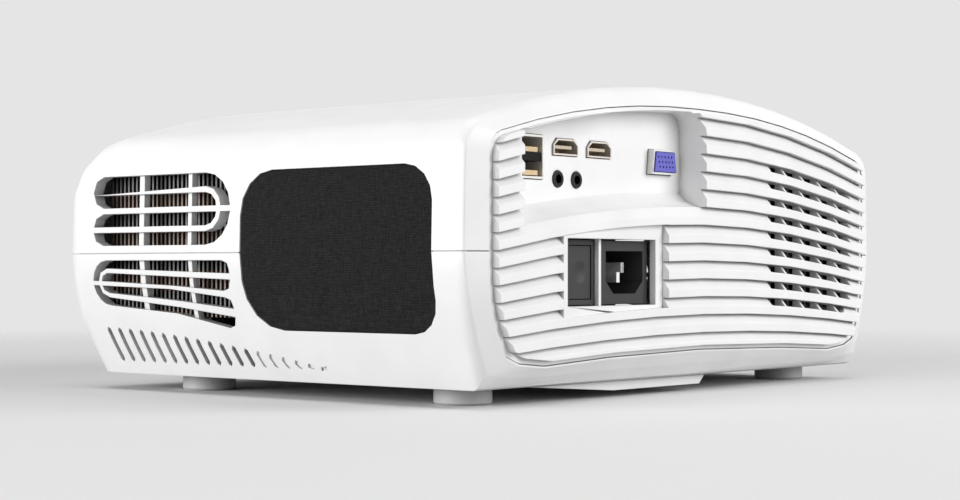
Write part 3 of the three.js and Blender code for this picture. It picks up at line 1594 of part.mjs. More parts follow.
function rearFanGuard() {
  const half = guard.half;
  const ys = [guard.rearY - guard.thickness, guard.rearY];
  const xs = [rearFan.x - half, rearFan.x + half];
  const zs = [rearFan.z - half, rearFan.z + half];
  const frame = block(xs, ys, zs);
  const hole = block(
    [xs[0] + guard.border, xs[1] - guard.border],
    [ys[0] - overrun, ys[1] + overrun],
    [zs[0] + guard.border, zs[1] - guard.border],
  );
  const bars = Array.from({ length: cells.ribCount }, (unused, k) => {
    const x = cells.firstRibX - cells.ribPitch * k;
    return block([x - guard.bar / 2, x + guard.bar / 2], ys, [zs[0] + gap, zs[1] - gap]);
  });
  return frame.subtract(hole).add(joined(bars));
}

const inletX = (inlet.lowX + inlet.highX) / 2;
const inletZ = (inlet.lowZ + inlet.highZ) / 2;

function mainsInlet() {
  const flange = block([inlet.lowX, inlet.highX], [inlet.faceY - inlet.flange, inlet.faceY],
    [inlet.lowZ, inlet.highZ]);
  const inset = inlet.bodyInset;
  const shroud = block([inlet.lowX + inset, inlet.highX - inset], [inlet.rearY, inlet.faceY - gap],
    [inlet.lowZ + inset, inlet.highZ - inset]);
  const w = inlet.holeHalfWidth;
  const h = inlet.holeHalfHeight;
  const hole = polygon([
    [inletX - w, inletZ + h],
    [inletX - w, inletZ - h + inlet.chamfer],
    [inletX - w + inlet.chamfer, inletZ - h],
    [inletX + w - inlet.chamfer, inletZ - h],
    [inletX + w, inletZ - h + inlet.chamfer],
    [inletX + w, inletZ + h],
  ]);
  return flange.add(shroud)
    .subtract(prism(hole, 'y', inlet.floorY, inlet.faceY + overrun))
    .subtract(pinBlades(inlet.rearY - overrun, pins.fit));
}

// The three contact blades, from a common plane, and grown by a fit for their slots
function pinBlades(startY, grow) {
  const blade = (x, z, tipY) => block(
    [x - pins.halfWidth - grow, x + pins.halfWidth + grow],
    [startY, tipY],
    [z - pins.halfHeight - grow, z + pins.halfHeight + grow],
  );
  return joined([
    blade(inletX - pins.spread, inletZ + pins.offset, pins.lineTipY),
    blade(inletX + pins.spread, inletZ + pins.offset, pins.lineTipY),
    blade(inletX, inletZ - pins.offset, pins.earthTipY),
  ]);
}

// The blades stand on a carrier that closes the back of the inlet
function mainsPins() {
  const carrierY = [inlet.rearY - gap - pins.carrier, inlet.rearY - gap];
  const carrier = block(
    [inlet.lowX + inlet.bodyInset, inlet.highX - inlet.bodyInset],
    carrierY,
    [inlet.lowZ + inlet.bodyInset, inlet.highZ - inlet.bodyInset],
  );
  return carrier.add(pinBlades(carrierY[0] + gap, 0));
}

const switchX = (mainsSwitch.lowX + mainsSwitch.highX) / 2;
const switchZ = (mainsSwitch.lowZ + mainsSwitch.highZ) / 2;

function switchHousing() {
  const s = mainsSwitch;
  const box = block([s.lowX, s.highX], [s.rearY, s.faceY], [s.lowZ, s.highZ]);
  const well = block(
    [s.lowX + s.wall, s.highX - s.wall],
    [s.rearY + s.floor, s.faceY + overrun],
    [s.lowZ + s.wall, s.highZ - s.wall],
  );
  const spring = rod(s.springRadius, s.rearY + s.floor - gap, s.capY - s.capDepth - s.travel - gap, 'y',
    [switchX, switchZ], 12);
  return box.subtract(well).add(spring);
}

// The push cap with its round finger dish
function switchCap() {
  const s = mainsSwitch;
  const margin = s.wall + gap;
  const cap = block([s.lowX + margin, s.highX - margin], [s.capY - s.capDepth, s.capY],
    [s.lowZ + margin, s.highZ - margin]);
  const sphere = (s.dishRadius ** 2 + s.dishDepth ** 2) / (2 * s.dishDepth);
  const dish = new THREE.SphereGeometry(sphere, 32, 24);
  dish.rotateX(Math.PI / 2);
  dish.translate(switchX, s.capY - s.dishDepth + sphere, switchZ);
  return cap.subtract(solidOf(dish));
}

// The USB shell: a rectangular tube round both ports
function usbSocket() {
  const shell = prism(usbOutline(0), 'y', mainBoard.faceY + gap, usb.faceY);
  return shell.subtract(prism(usbOutline(-usb.wall), 'y', mainBoard.faceY, usb.faceY + overrun));
}

// The insulator: a back block, the band between the ports and one tongue in each port
function usbInsulator() {
  const fill = usb.halfWidth - usb.wall - pins.fit;
  const backY = usb.faceY - usb.depth;
  const bandHalf = usb.holeOffset - usb.holeHalfHeight;
  const fillZ = usb.halfHeight - usb.wall - pins.fit;
  const back = block([usb.x - fill, usb.x + fill], [mainBoard.faceY + gap, backY],
    [usb.z - fillZ, usb.z + fillZ]);
  const band = block([usb.x - fill, usb.x + fill], [backY - gap, usb.faceY - usb.bandRecess],
    [usb.z - bandHalf, usb.z + bandHalf]);
  const tongues = [-1, 1].map((side) => {
    const lowZ = usb.z + side * usb.holeOffset - usb.holeHalfHeight + gap;
    return block(
      [usb.x - usb.tongueHalfWidth, usb.x + usb.tongueHalfWidth],
      [backY - gap, usb.faceY - usb.tongueRecess],
      [lowZ, lowZ + usb.tongue],
    );
  });
  return joined([back, band, ...tongues]);
}

function hdmiShell(place) {
  const shell = prism(hdmiOutline(place, 0), 'y', mainBoard.faceY + gap, hdmi.faceY);
  return shell.subtract(prism(hdmiOutline(place, -hdmi.wall), 'y', hdmi.faceY - hdmi.depth, hdmi.faceY + overrun));
}

// The contact tongue, on a foot that fills the bottom of the shell
function hdmiTongue([x, z]) {
  const footY = hdmi.faceY - hdmi.depth + pins.fit;
  const tongue = block(
    [x - hdmi.tongueHalfWidth, x + hdmi.tongueHalfWidth],
    [footY, hdmi.faceY - hdmi.tongueRecess],
    [z - hdmi.tongue / 2, z + hdmi.tongue / 2],
  );
  return tongue.add(prism(hdmiOutline([x, z], -hdmi.wall - pins.fit), 'y', footY, footY + hdmi.tongue));
}

const audioJack = (x) => rod(jack.radius, mainBoard.faceY + gap, jack.faceY, 'y', [x, jack.z], 16)
  .subtract(rod(jack.bore, jack.faceY - jack.depth, jack.faceY + overrun, 'y', [x, jack.z], 12));

function vgaShell() {
  const shell = prism(vgaOutline(0), 'y', mainBoard.faceY + gap, vga.faceY);
  const flange = block(
    [vga.x - vga.flangeHalfWidth, vga.x + vga.flangeHalfWidth],
    [tub.floorY - tub.wall - gap - vga.flange, tub.floorY - tub.wall - gap],
    [vga.z - vga.flangeHalfHeight, vga.z + vga.flangeHalfHeight],
  );
  const hole = prism(vgaOutline(-vga.wall), 'y', tub.floorY - tub.wall, vga.faceY + overrun);
  return shell.add(flange).subtract(hole);
}

// The contact block, with three rows of five holes
function vgaInsulator() {
  const faceY = vga.faceY + vga.proud;
  const holes = [];
  for (let row = -1; row <= 1; row += 1) {
    for (let column = -2; column <= 2; column += 1) {
      const x = vga.x + column * vga.holePitch + row * vga.hole;
      const z = vga.z + row * vga.rowPitch;
      holes.push(rod(vga.hole, faceY - vga.holeDepth, faceY + overrun, 'y', [x, z], 4));
    }
  }
  return prism(vgaOutline(-vga.wall - gap), 'y', tub.floorY - tub.wall + gap, faceY).subtract(joined(holes));
}

const mainBoardSolid = () => block(
  [mainBoard.lowX, mainBoard.highX],
  [mainBoard.faceY - mainBoard.thickness, mainBoard.faceY],
  [mainBoard.lowZ, mainBoard.highZ],
);

function supplyBoardSolid() {
  const p = supplyBoard;
  const topZ = p.lowZ + p.thickness;
  const board = block([p.lowX, p.highX], [p.frontY, p.rearY], [p.lowZ, topZ]);
  const coil = block([p.coilLowX, p.coilHighX], [p.coilLowY, p.coilHighY], [topZ - gap, topZ + p.coilHeight]);
  const choke = block([p.chokeLowX, p.chokeHighX], [p.chokeLowY, p.chokeHighY],
    [topZ - gap, topZ + p.chokeHeight]);
  const can = rod(p.canRadius, topZ - gap, topZ + p.canHeight, 'z', [p.canX, p.canY], 16);
  return joined([board, coil, choke, can]);
}

const keypadSeatZ = keypad.topZ - keypad.plate;
const keyNames = ['power', 'source', 'menu', 'minus', 'plus', 'ok'];
const keyPlaces = keyNames.map((name, index) => {
  const column = index % keypad.columns - (keypad.columns - 1) / 2;
  const row = Math.floor(index / keypad.columns) - (keypad.rows - 1) / 2;
  return [`key_${name}`, -column * keypad.columnPitch, keypad.y - row * keypad.rowPitch];
});

function controlPanel() {
  const shape = roundedRect([-keypad.halfWidth, keypad.halfWidth],
    [keypad.y - keypad.halfDepth, keypad.y + keypad.halfDepth], keypad.corner);
  const holes = keyPlaces.map(([name, x, y]) =>
    rod(keypad.keyRadius + gap, keypadSeatZ - overrun, keypad.topZ + overrun, 'z', [x, y], 10));
  return prism(shape, 'z', keypadSeatZ, keypad.topZ).subtract(joined(holes));
}

const keypadBoardTopZ = keypadSeatZ - gap - keypad.keyFlangeThickness - keypad.keyTravel - gap;

function keypadBoard() {
  const inset = keypad.frame + gap;
  return block(
    [-keypad.halfWidth + inset, keypad.halfWidth - inset],
    [keypad.y - keypad.halfDepth + inset, keypad.y + keypad.halfDepth - inset],
    [keypadBoardTopZ - keypad.board, keypadBoardTopZ],
  );
}

// A key: a round cap on a wider flange that the plate above holds in
const keyCap = (x, y) => turned([
  [0, keypadSeatZ - gap - keypad.keyFlangeThickness],
  [keypad.keyFlange, keypadSeatZ - gap - keypad.keyFlangeThickness],
  [keypad.keyFlange, keypadSeatZ - gap],
  [keypad.keyRadius, keypadSeatZ - gap],
  [keypad.keyRadius, keypad.topZ],
  [keypad.keyRadius - keypad.keyProud, keypad.topZ + keypad.keyProud],
  [0, keypad.topZ + keypad.keyProud],
], 'z', [x, y], 10);

function bellyCover() {
  const topZ = body.bottomZ - gap;
  const lowZ = body.bottomZ - belly.drop;
  const profile = polygon([
    [belly.lowX, topZ],
    [belly.lowX + belly.drop, lowZ],
    [belly.slopeX, lowZ],
    [belly.highX, topZ],
  ]);
  const plug = block([belly.plugLowX, belly.plugHighX], [belly.plugFrontY, belly.plugRearY],
    [topZ - gap, topZ + belly.plugRise]);
  return prism(profile, 'y', belly.frontY, belly.rearY).add(plug);
}

// A fixed foot: a disc under the floor with a stud through it
const fixedFoot = (place) => turned([
  [0, 0],
  [foot.radius - foot.softEdge, 0],
  [foot.radius, foot.softEdge],
  [foot.radius, body.bottomZ - gap],
  [foot.stud, body.bottomZ - gap],
  [foot.stud, floorZ + gap],
  [0, floorZ + gap],
], 'z', place, foot.sideCount);

const footPad = (place) => turned([
  [0, 0],
  [foot.radius - foot.softEdge, 0],
  [foot.radius, foot.softEdge],
  [foot.radius, body.bottomZ - gap],
  [foot.stud + gap, body.bottomZ - gap],
  [foot.stud + gap, foot.socketZ - gap],
  [0, foot.socketZ - gap],
], 'z', place, foot.sideCount);

const footStem = (place) => rod(foot.stud, foot.socketZ, foot.studTopZ, 'z', place, 12);

function caseScrew(place) {
  const seatZ = body.bottomZ + screw.recess + screw.headDepth;
  return turned([
    [0, seatZ - screw.headDepth],
    [screw.headRadius, seatZ - screw.headDepth],
    [screw.headRadius, seatZ - pins.fit],
    [screw.shankRadius, seatZ - pins.fit],
    [screw.shankRadius, screw.topZ],
    [0, screw.topZ],
  ], 'z', place, 8);
}

// The assembly
const projector = new THREE.Group();

function addPart(name, part, look, place = [0, 0, 0]) {
  const geometry = part.isBufferGeometry ? part : geometryOf(part);
  const mesh = new THREE.Mesh(geometry, new THREE.MeshStandardMaterial(finish[look]));
  mesh.name = name;
  mesh.position.set(...place);
  projector.add(mesh);
}

const grille = speakerGrille();
const driver = speakerDriver();
const rearPlaces = [['right', foot.rearX], ['left', -foot.rearX]];
const frontPlaces = [['right', foot.frontX], ['left', -foot.frontX]];

addPart('upper_shell', upperShell(), 'shell');
addPart('lower_shell', lowerShell(), 'shell');
addPart('rear_louver_panel', rearLouverPanel(), 'shell');
addPart('rear_fan_guard', rearFanGuard(), 'shell');
addPart('speaker_grille_right', grille, 'cloth');
addPart('speaker_grille_left', mirrored(grille), 'cloth');
addPart('speaker_driver_right', driver, 'black');
addPart('speaker_driver_left', mirrored(driver), 'black');
addPart('lens_bezel', lensBezel(), 'black');
addPart('control_panel', controlPanel(), 'shell');
addPart('keypad_board', keypadBoard(), 'board');
addPart('belly_cover', bellyCover(), 'shell');
rearPlaces.forEach(([side, x]) => addPart(`foot_rear_${side}`, fixedFoot([x, foot.rearY]), 'shell'));
addPart('mains_inlet', mainsInlet(), 'darkGrey');
addPart('mains_inlet_pins', mainsPins(), 'metal');
addPart('mains_switch_housing', switchHousing(), 'darkGrey');
addPart('usb_socket', usbSocket(), 'metal');
addPart('usb_insulator', usbInsulator(), 'black');
hdmi.places.forEach((place, index) => {
  addPart(`hdmi_shell_${index + 1}`, hdmiShell(place), 'metal');
  addPart(`hdmi_tongue_${index + 1}`, hdmiTongue(place), 'black');
});
addPart('av_jack', audioJack(jack.avX), 'black');
addPart('headphone_jack', audioJack(jack.earX), 'black');
addPart('vga_shell', vgaShell(), 'metal');
addPart('vga_insulator', vgaInsulator(), 'blue');
addPart('main_board', mainBoardSolid(), 'board');
addPart('power_board', supplyBoardSolid(), 'board');
addPart('led_board', ledBoardSolid(), 'lampMetal');
addPart('heat_sink', heatSink(), 'fins');
addPart('light_funnel', lightFunnel(), 'lampMetal');
addPart('lcd_panel', lcdPanel(), 'glass');
addPart('fresnel_lens_mirror_side', opticsPlate(...opticsPlaces[0]), 'glass');
addPart('fresnel_lens_lamp_side', opticsPlate(...opticsPlaces[2]), 'glass');
addPart('engine_housing', engineHousing(), 'black');
addPart('engine_lid', engineLid(), 'black');
addPart('lens_mount', lensMount(), 'black');
addPart('rear_fan_frame', turnedToRear(fanFrame(rearFan)), 'black',
  [rearFan.x, rearFan.rearY - rearFan.depth, rearFan.z]);
addPart('sink_fan_frame', fanFrame(sinkFan), 'black', [sinkFan.x, sinkFan.y, sinkFan.lowZ]);
screwPlaces.forEach(([x, y]) => addPart(`case_screw_${x > 0 ? 'right' : 'left'}`, caseScrew([x, y]), 'metal'));
addPart('lens_barrel', lensBarrel(), 'black');
addPart('lens_glass', lensGlass(), 'glass');
addPart('focus_ring', handRing(lens.focusFrontY), 'darkGrey');
addPart('keystone_ring', handRing(lens.tiltRingFrontY), 'darkGrey');
addPart('fold_mirror', foldMirror(), 'mirrorFace');
addPart('rear_fan_rotor', turnedToRear(fanRotor(rearFan)), 'black',
  [rearFan.x, rearFan.rearY - rearFan.depth, rearFan.z]);
addPart('sink_fan_rotor', fanRotor(sinkFan), 'black', [sinkFan.x, sinkFan.y, sinkFan.lowZ]);
addPart('mains_switch_cap', switchCap(), 'darkGrey');
keyPlaces.forEach(([name, x, y]) => addPart(name, keyCap(x, y), 'shell'));
frontPlaces.forEach(([side, x]) => {
  addPart(`foot_front_${side}_stem`, footStem([x, foot.frontY]), 'metal');
  addPart(`foot_front_${side}_pad`, footPad([x, foot.frontY]), 'shell');
});

export default projector;
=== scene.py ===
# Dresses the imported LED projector: materials, soft shading, the tongue in the joint between the shells,
# floor, light and camera. The scene is in metres, and MM is a millimetre in it.
import json
import math

import bmesh
import bpy
import numpy as np
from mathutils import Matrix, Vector
from mathutils.bvhtree import BVHTree
from mathutils.geometry import tessellate_polygon


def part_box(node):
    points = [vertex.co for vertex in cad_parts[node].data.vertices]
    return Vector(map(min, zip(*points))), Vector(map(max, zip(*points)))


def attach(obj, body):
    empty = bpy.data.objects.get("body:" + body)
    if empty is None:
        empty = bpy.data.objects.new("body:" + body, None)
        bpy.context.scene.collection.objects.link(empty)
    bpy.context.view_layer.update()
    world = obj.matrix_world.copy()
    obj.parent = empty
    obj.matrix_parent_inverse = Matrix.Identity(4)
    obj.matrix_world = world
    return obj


MM = 0.001

# Soft shading: corners within KEY_STEP are one point, faces within the flat angle are one flat area, and
# areas within the soft angle share a direction. A face takes the uncut case's direction within the outer
# angle and reach, read a little inside each of its corners.
KEY_STEP = 2e-6
FLAT_COSINE = math.cos(math.radians(0.3))
SOFT_COSINE = math.cos(math.radians(32))
OUTER_COSINE = math.cos(math.radians(24))
OUTER_REACH = 0.7 * MM
INSIDE_CORNER = 0.02
NO_LENGTH = 1e-12
NO_AREA = 1e-18
NO_SPAN = 1e-24

# The tongue that closes the joint between the shells, with its lengths in millimetres.
SEAM_GAP = 0.3
SEAM_STEPS = 90
CORNER_STEPS = 12
SEAM_MARGIN = 0.8
LIP_DEPTH = 0.35
LIP_THICKNESS = 1.0

# Surface detail: places and lengths are in millimetres in the part's frame, unless MM is in them.
BEVEL_SAMPLES = 4
# Painted shade: the white plastic's colour fades to a grey where a spot is closed in, deep in grooves and
# recesses.
PAINTED_SHADE_REACH = 9.0 * MM
PAINTED_SHADE_SAMPLES = 8
PAINTED_SHADE_DEEPEST = 0.08
PAINTED_SHADE_CLEAR = 0.62
PAINTED_SHADE_GREY = 168
USB_MIDDLE_Z = 85.95
USB_HALF_PITCH = 4.35
USB_TONGUE_HALF = 1.0
USB_CONTACT_PITCH = 2.5
USB_CONTACT_SHARE = 0.4
HDMI_CONTACT_PITCH = 1.0
HDMI_CONTACT_SHARE = 0.45
JACK_RADIUS = 3.1
JACK_Z = 84.1
AV_JACK_X = 81.1
HEADPHONE_JACK_X = 69.5
FIN_ROW_HALF_PITCH = 8.1
FIN_ROW_Z = 77.7
FIN_EDGE_X = 134.9
CLOTH_PITCH = 0.62

# Stage, in metres and watts. Greys go from 0 to 255. A lamp is its name, place, target, size and power.
FLOOR_SIZE = 6.0
FLOOR_FADE_START = 0.3
FLOOR_FADE_END = 0.9
FLOOR_BOUNCE_GREY = 165
FLOOR_SEEN_GREY = 238
BACKDROP_GREY = 229
WORLD_STRENGTH = 0.24
LAMPS = (
    ("side_box", (1.75, -0.75, 0.36), (0.05, 0.0, 0.06), (1.4, 0.7), 26.0),
    ("fill_box", (1.75, 0.45, 0.45), (0.05, 0.05, 0.06), (0.7, 0.7), 4.0),
    ("rear_box", (-0.8, 1.75, 0.75), (0.0, 0.05, 0.06), (1.6, 1.3), 35.0),
    ("top_box", (0.0, 0.0, 1.8), (0.0, 0.0, 0.1), (1.4, 1.4), 8.0),
)
SENSOR_WIDTH = 36.0
FOCAL_LENGTH = 72.94
PICTURE_SHIFT = 0.02
CLIP_START = 0.05
CLIP_END = 50.0
CAMERA_PLACE = (0.6625, 0.5476, 0.0501)
CAMERA_DIRECTION = (-0.7683, -0.6401, 0.0)

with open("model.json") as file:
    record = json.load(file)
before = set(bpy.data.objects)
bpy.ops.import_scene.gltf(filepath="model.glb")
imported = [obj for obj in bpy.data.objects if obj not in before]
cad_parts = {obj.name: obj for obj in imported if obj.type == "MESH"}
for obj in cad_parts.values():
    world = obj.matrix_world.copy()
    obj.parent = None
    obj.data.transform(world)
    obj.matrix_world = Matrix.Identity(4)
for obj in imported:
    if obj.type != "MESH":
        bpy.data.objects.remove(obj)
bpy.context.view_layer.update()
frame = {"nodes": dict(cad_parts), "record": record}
nodes = frame["nodes"]
scene = bpy.context.scene


class Graph:
    """A material's node tree, with short calls for the nodes that the looks here need."""

    # The colour sockets of the Mix node, by number, because their names stand in it more than once.
    mix_first = 6
    mix_second = 7
    mix_color = 2

    def __init__(self, name):
        self.material = bpy.data.materials.new(name)
        self.material.use_nodes = True
        self.tree = self.material.node_tree
        self.shader = self.tree.nodes["Principled BSDF"]
        self.coordinates = self.tree.nodes.new("ShaderNodeTexCoord").outputs["Object"]

    def node(self, kind, inputs=None, **settings):
        made = self.tree.nodes.new(kind)
        for key, value in settings.items():
            setattr(made, key, value)
        for key, value in (inputs or {}).items():
            self.feed(made.inputs[key], value)
        return made

    def feed(self, socket, value):
        if isinstance(value, bpy.types.NodeSocket):
            self.tree.links.new(value, socket)
        else:
            socket.default_value = value

    def set(self, **values):
        for key, value in values.items():
            self.feed(self.shader.inputs[key.replace("_", " ")], value)

    def math(self, operation, *terms):
        made = self.tree.nodes.new("ShaderNodeMath")
        made.operation = operation
        for index, term in enumerate(terms):
            self.feed(made.inputs[index], term)
        return made.outputs[0]

    def axes(self):
        return self.node("ShaderNodeSeparateXYZ", {"Vector": self.coordinates}).outputs

    def noise(self, scale, detail=2.0, roughness=0.5, stretch=None):
        vector = self.coordinates
        if stretch is not None:
            vector = self.node("ShaderNodeMapping", {"Vector": vector, "Scale": stretch}).outputs["Vector"]
        made = self.node("ShaderNodeTexNoise", {
            "Vector": vector, "Scale": scale, "Detail": detail, "Roughness": roughness,
        })
        return made.outputs["Fac"]

    def ramp(self, factor, *stops):
        made = self.node("ShaderNodeValToRGB", {"Fac": factor})
        while len(made.color_ramp.elements) < len(stops):
            made.color_ramp.elements.new(0.5)
        for element, (place, color) in zip(made.color_ramp.elements, stops):
            element.position = place
            element.color = (*color, 1.0)
        return made.outputs["Color"]

    def level(self, factor, low, high):
        made = self.node("ShaderNodeMapRange", {"Value": factor, "To Min": low, "To Max": high})
        return made.outputs["Result"]

    def fade(self, value, start, end):
        """A soft step from 0 to 1 while the value goes from start to end."""
        made = self.node("ShaderNodeMapRange", {
            "Value": value, "From Min": start, "From Max": end, "To Min": 0.0, "To Max": 1.0,
        }, interpolation_type="SMOOTHSTEP")
        return made.outputs["Result"]

    def blend(self, factor, first, second):
        """The first colour at 0 and the second at 1."""
        made = self.node("ShaderNodeMix", {"Factor": factor}, data_type="RGBA")
        self.feed(made.inputs[self.mix_first], first)
        self.feed(made.inputs[self.mix_second], second)
        return made.outputs[self.mix_color]

    def rounded(self, radius):
        return self.node("ShaderNodeBevel", {"Radius": radius}, samples=BEVEL_SAMPLES).outputs["Normal"]

    def bump(self, height, distance, strength=1.0, normal=None):
        inputs = {"Height": height, "Distance": distance, "Strength": strength}
        if normal is not None:
            inputs["Normal"] = normal
        self.set(Normal=self.node("ShaderNodeBump", inputs).outputs["Normal"])


def shade(value):
    """A grey from its 0 to 255 value, as the linear colour that shaders take."""
    share = value / 255
    return share / 12.92 if share <= 0.04045 else ((share + 0.055) / 1.055) ** 2.4


def grey(value):
    return (shade(value),) * 3


def moulded(name, low, high, roughness, grain, grain_depth, edge, specular=0.5):
    """Moulded plastic: a fine spark-eroded grain, a faint drift of colour and softened edges."""
    graph = Graph(name)
    drift = graph.noise(45.0, 3.0)
    graph.set(Base_Color=graph.ramp(drift, (0.3, low), (0.7, high)))
    patch = graph.noise(130.0, 2.0)
    graph.set(Roughness=graph.level(patch, roughness - 0.04, roughness + 0.05))
    graph.set(Specular_IOR_Level=specular)
    graph.bump(graph.noise(grain, 3.0, 0.6), grain_depth, 0.35, graph.rounded(edge))
    return graph


def white_plastic():
    """White moulded plastic with painted shade: its colour is greyed deep in its grooves and recesses."""
    graph = moulded("white_abs_painted_shade", grey(240), grey(246), 0.36, 2600.0, 0.03 * MM, 0.5 * MM)
    unshaded_color = graph.shader.inputs["Base Color"].links[0].from_socket
    # Painted shade: ambient occlusion turns the colour towards the grey in grooves and recesses.
    reach = graph.node("ShaderNodeAmbientOcclusion", {"Distance": PAINTED_SHADE_REACH}, samples=PAINTED_SHADE_SAMPLES)
    unshaded_share = graph.fade(reach.outputs["AO"], PAINTED_SHADE_DEEPEST, PAINTED_SHADE_CLEAR)
    graph.set(Base_Color=graph.blend(unshaded_share, (*grey(PAINTED_SHADE_GREY), 1.0), unshaded_color))
    return graph.material


def soft_white_plastic():
    return moulded("white_foot_plastic", grey(184), grey(192), 0.5, 2200.0, 0.04 * MM, 0.3 * MM).material


def dark_plastic():
    return moulded("dark_grey_plastic", grey(52), grey(60), 0.45, 2400.0, 0.04 * MM, 0.25 * MM, 0.2).material


def black_plastic():
    return moulded("black_plastic", grey(22), grey(30), 0.5, 2200.0, 0.05 * MM, 0.2 * MM, 0.25).material


def guard_plastic():
    return moulded("guard_plastic", grey(96), grey(108), 0.5, 2200.0, 0.04 * MM, 0.2 * MM).material


def gloss_black():
    graph = moulded("gloss_black_plastic", grey(12), grey(18), 0.12, 1500.0, 0.005 * MM, 0.4 * MM)
    graph.set(Coat_Weight=0.5, Coat_Roughness=0.05)
    return graph.material


def ring_grey():
    return moulded("ribbed_ring_plastic", grey(50), grey(60), 0.42, 2400.0, 0.05 * MM, 0.2 * MM).material


def socket_blue():
    low, high = (0.082, 0.08, 0.47), (0.11, 0.105, 0.56)
    return moulded("blue_socket_plastic", low, high, 0.42, 3000.0, 0.02 * MM, 0.15 * MM).material


def metal(name, low, high, roughness, stretch=(1.0, 1.0, 1.0), scale=900.0, metallic=1.0):
    """Plated or rolled metal with a fine mottle, drawn out along an axis where stretch is low there."""
    graph = Graph(name)
    streak = graph.noise(scale, 3.0, 0.6, stretch)
    graph.set(Base_Color=graph.ramp(streak, (0.3, low), (0.7, high)), Metallic=metallic)
    graph.set(Roughness=graph.level(streak, roughness - 0.06, roughness + 0.08))
    graph.bump(streak, 0.004 * MM, 0.3)
    return graph.material


def striped(graph, axis, pitch, share, plain, stripe):
    """Contact strips across a plastic tongue, at one pitch along an axis."""
    turn = graph.math("PINGPONG", graph.axes()[axis], pitch / 2)
    strip = graph.math("LESS_THAN", turn, pitch / 2 * share)
    return graph.blend(strip, plain, stripe)


def usb_plastic():
    """The two tan tongues, with contact strips, and the black block between the two sockets."""
    graph = Graph("usb_plastic")
    height = graph.math("SUBTRACT", graph.axes()["Z"], USB_MIDDLE_Z * MM)
    rise = graph.math("PINGPONG", height, USB_HALF_PITCH * MM)
    tongue = graph.math("LESS_THAN", rise, USB_TONGUE_HALF * MM)
    drift = graph.noise(900.0)
    tan = graph.ramp(drift, (0.3, (0.72, 0.56, 0.42)), (0.7, (0.8, 0.64, 0.49)))
    tan = striped(graph, "X", USB_CONTACT_PITCH * MM, USB_CONTACT_SHARE, tan, (0.82, 0.6, 0.26, 1.0))
    black = graph.ramp(drift, (0.3, grey(6)), (0.7, grey(11)))
    graph.set(Base_Color=graph.blend(tongue, black, tan), Roughness=0.5, Specular_IOR_Level=0.1)
    graph.bump(graph.noise(2400.0), 0.01 * MM, 0.3)
    return graph.material


def hdmi_plastic():
    """A brown-grey tongue with contact strips."""
    graph = Graph("hdmi_tongue_plastic")
    plain = graph.ramp(graph.noise(900.0), (0.3, (0.42, 0.37, 0.32)), (0.7, (0.5, 0.45, 0.4)))
    contacts = (0.72, 0.58, 0.36, 1.0)
    color = striped(graph, "X", HDMI_CONTACT_PITCH * MM, HDMI_CONTACT_SHARE, plain, contacts)
    graph.set(Base_Color=color, Roughness=0.5)
    graph.bump(graph.noise(2400.0), 0.01 * MM, 0.3)
    return graph.material


def jack_plastic(name, x):
    """A jack with a black throat and a satin rim."""
    graph = Graph(name)
    places = graph.axes()
    across = graph.math("POWER", graph.math("SUBTRACT", places["X"], x * MM), 2.0)
    up = graph.math("POWER", graph.math("SUBTRACT", places["Z"], JACK_Z * MM), 2.0)
    reach = graph.math("DIVIDE", graph.math("SQRT", graph.math("ADD", across, up)), JACK_RADIUS * MM)
    graph.set(Base_Color=graph.ramp(reach, (0.8, grey(10)), (0.92, grey(26)), (1.0, grey(70))))
    graph.set(Roughness=0.4, Specular_IOR_Level=0.15)
    graph.bump(graph.noise(2600.0), 0.01 * MM, 0.3)
    return graph.material


def fin_metal():
    """Dark anodised fins, with lighter cut edges and a brown tint in alternate rows."""
    graph = Graph("anodised_fins")
    places = graph.axes()
    half_pitch = FIN_ROW_HALF_PITCH * MM
    row = graph.math("PINGPONG", graph.math("SUBTRACT", places["Z"], FIN_ROW_Z * MM), half_pitch)
    rows = graph.math("DIVIDE", row, half_pitch)
    tint = graph.ramp(rows, (0.5, (0.1, 0.074, 0.062)), (0.62, (0.016, 0.016, 0.017)))
    edge = graph.math("GREATER_THAN", places["X"], FIN_EDGE_X * MM)
    worn = graph.ramp(rows, (0.5, (0.2, 0.158, 0.138)), (0.62, (0.13, 0.13, 0.133)))
    graph.set(Base_Color=graph.blend(edge, tint, worn), Metallic=0.55)
    graph.set(Roughness=graph.level(graph.noise(600.0), 0.38, 0.55))
    graph.bump(graph.noise(1500.0, 3.0), 0.02 * MM, 0.3)
    return graph.material


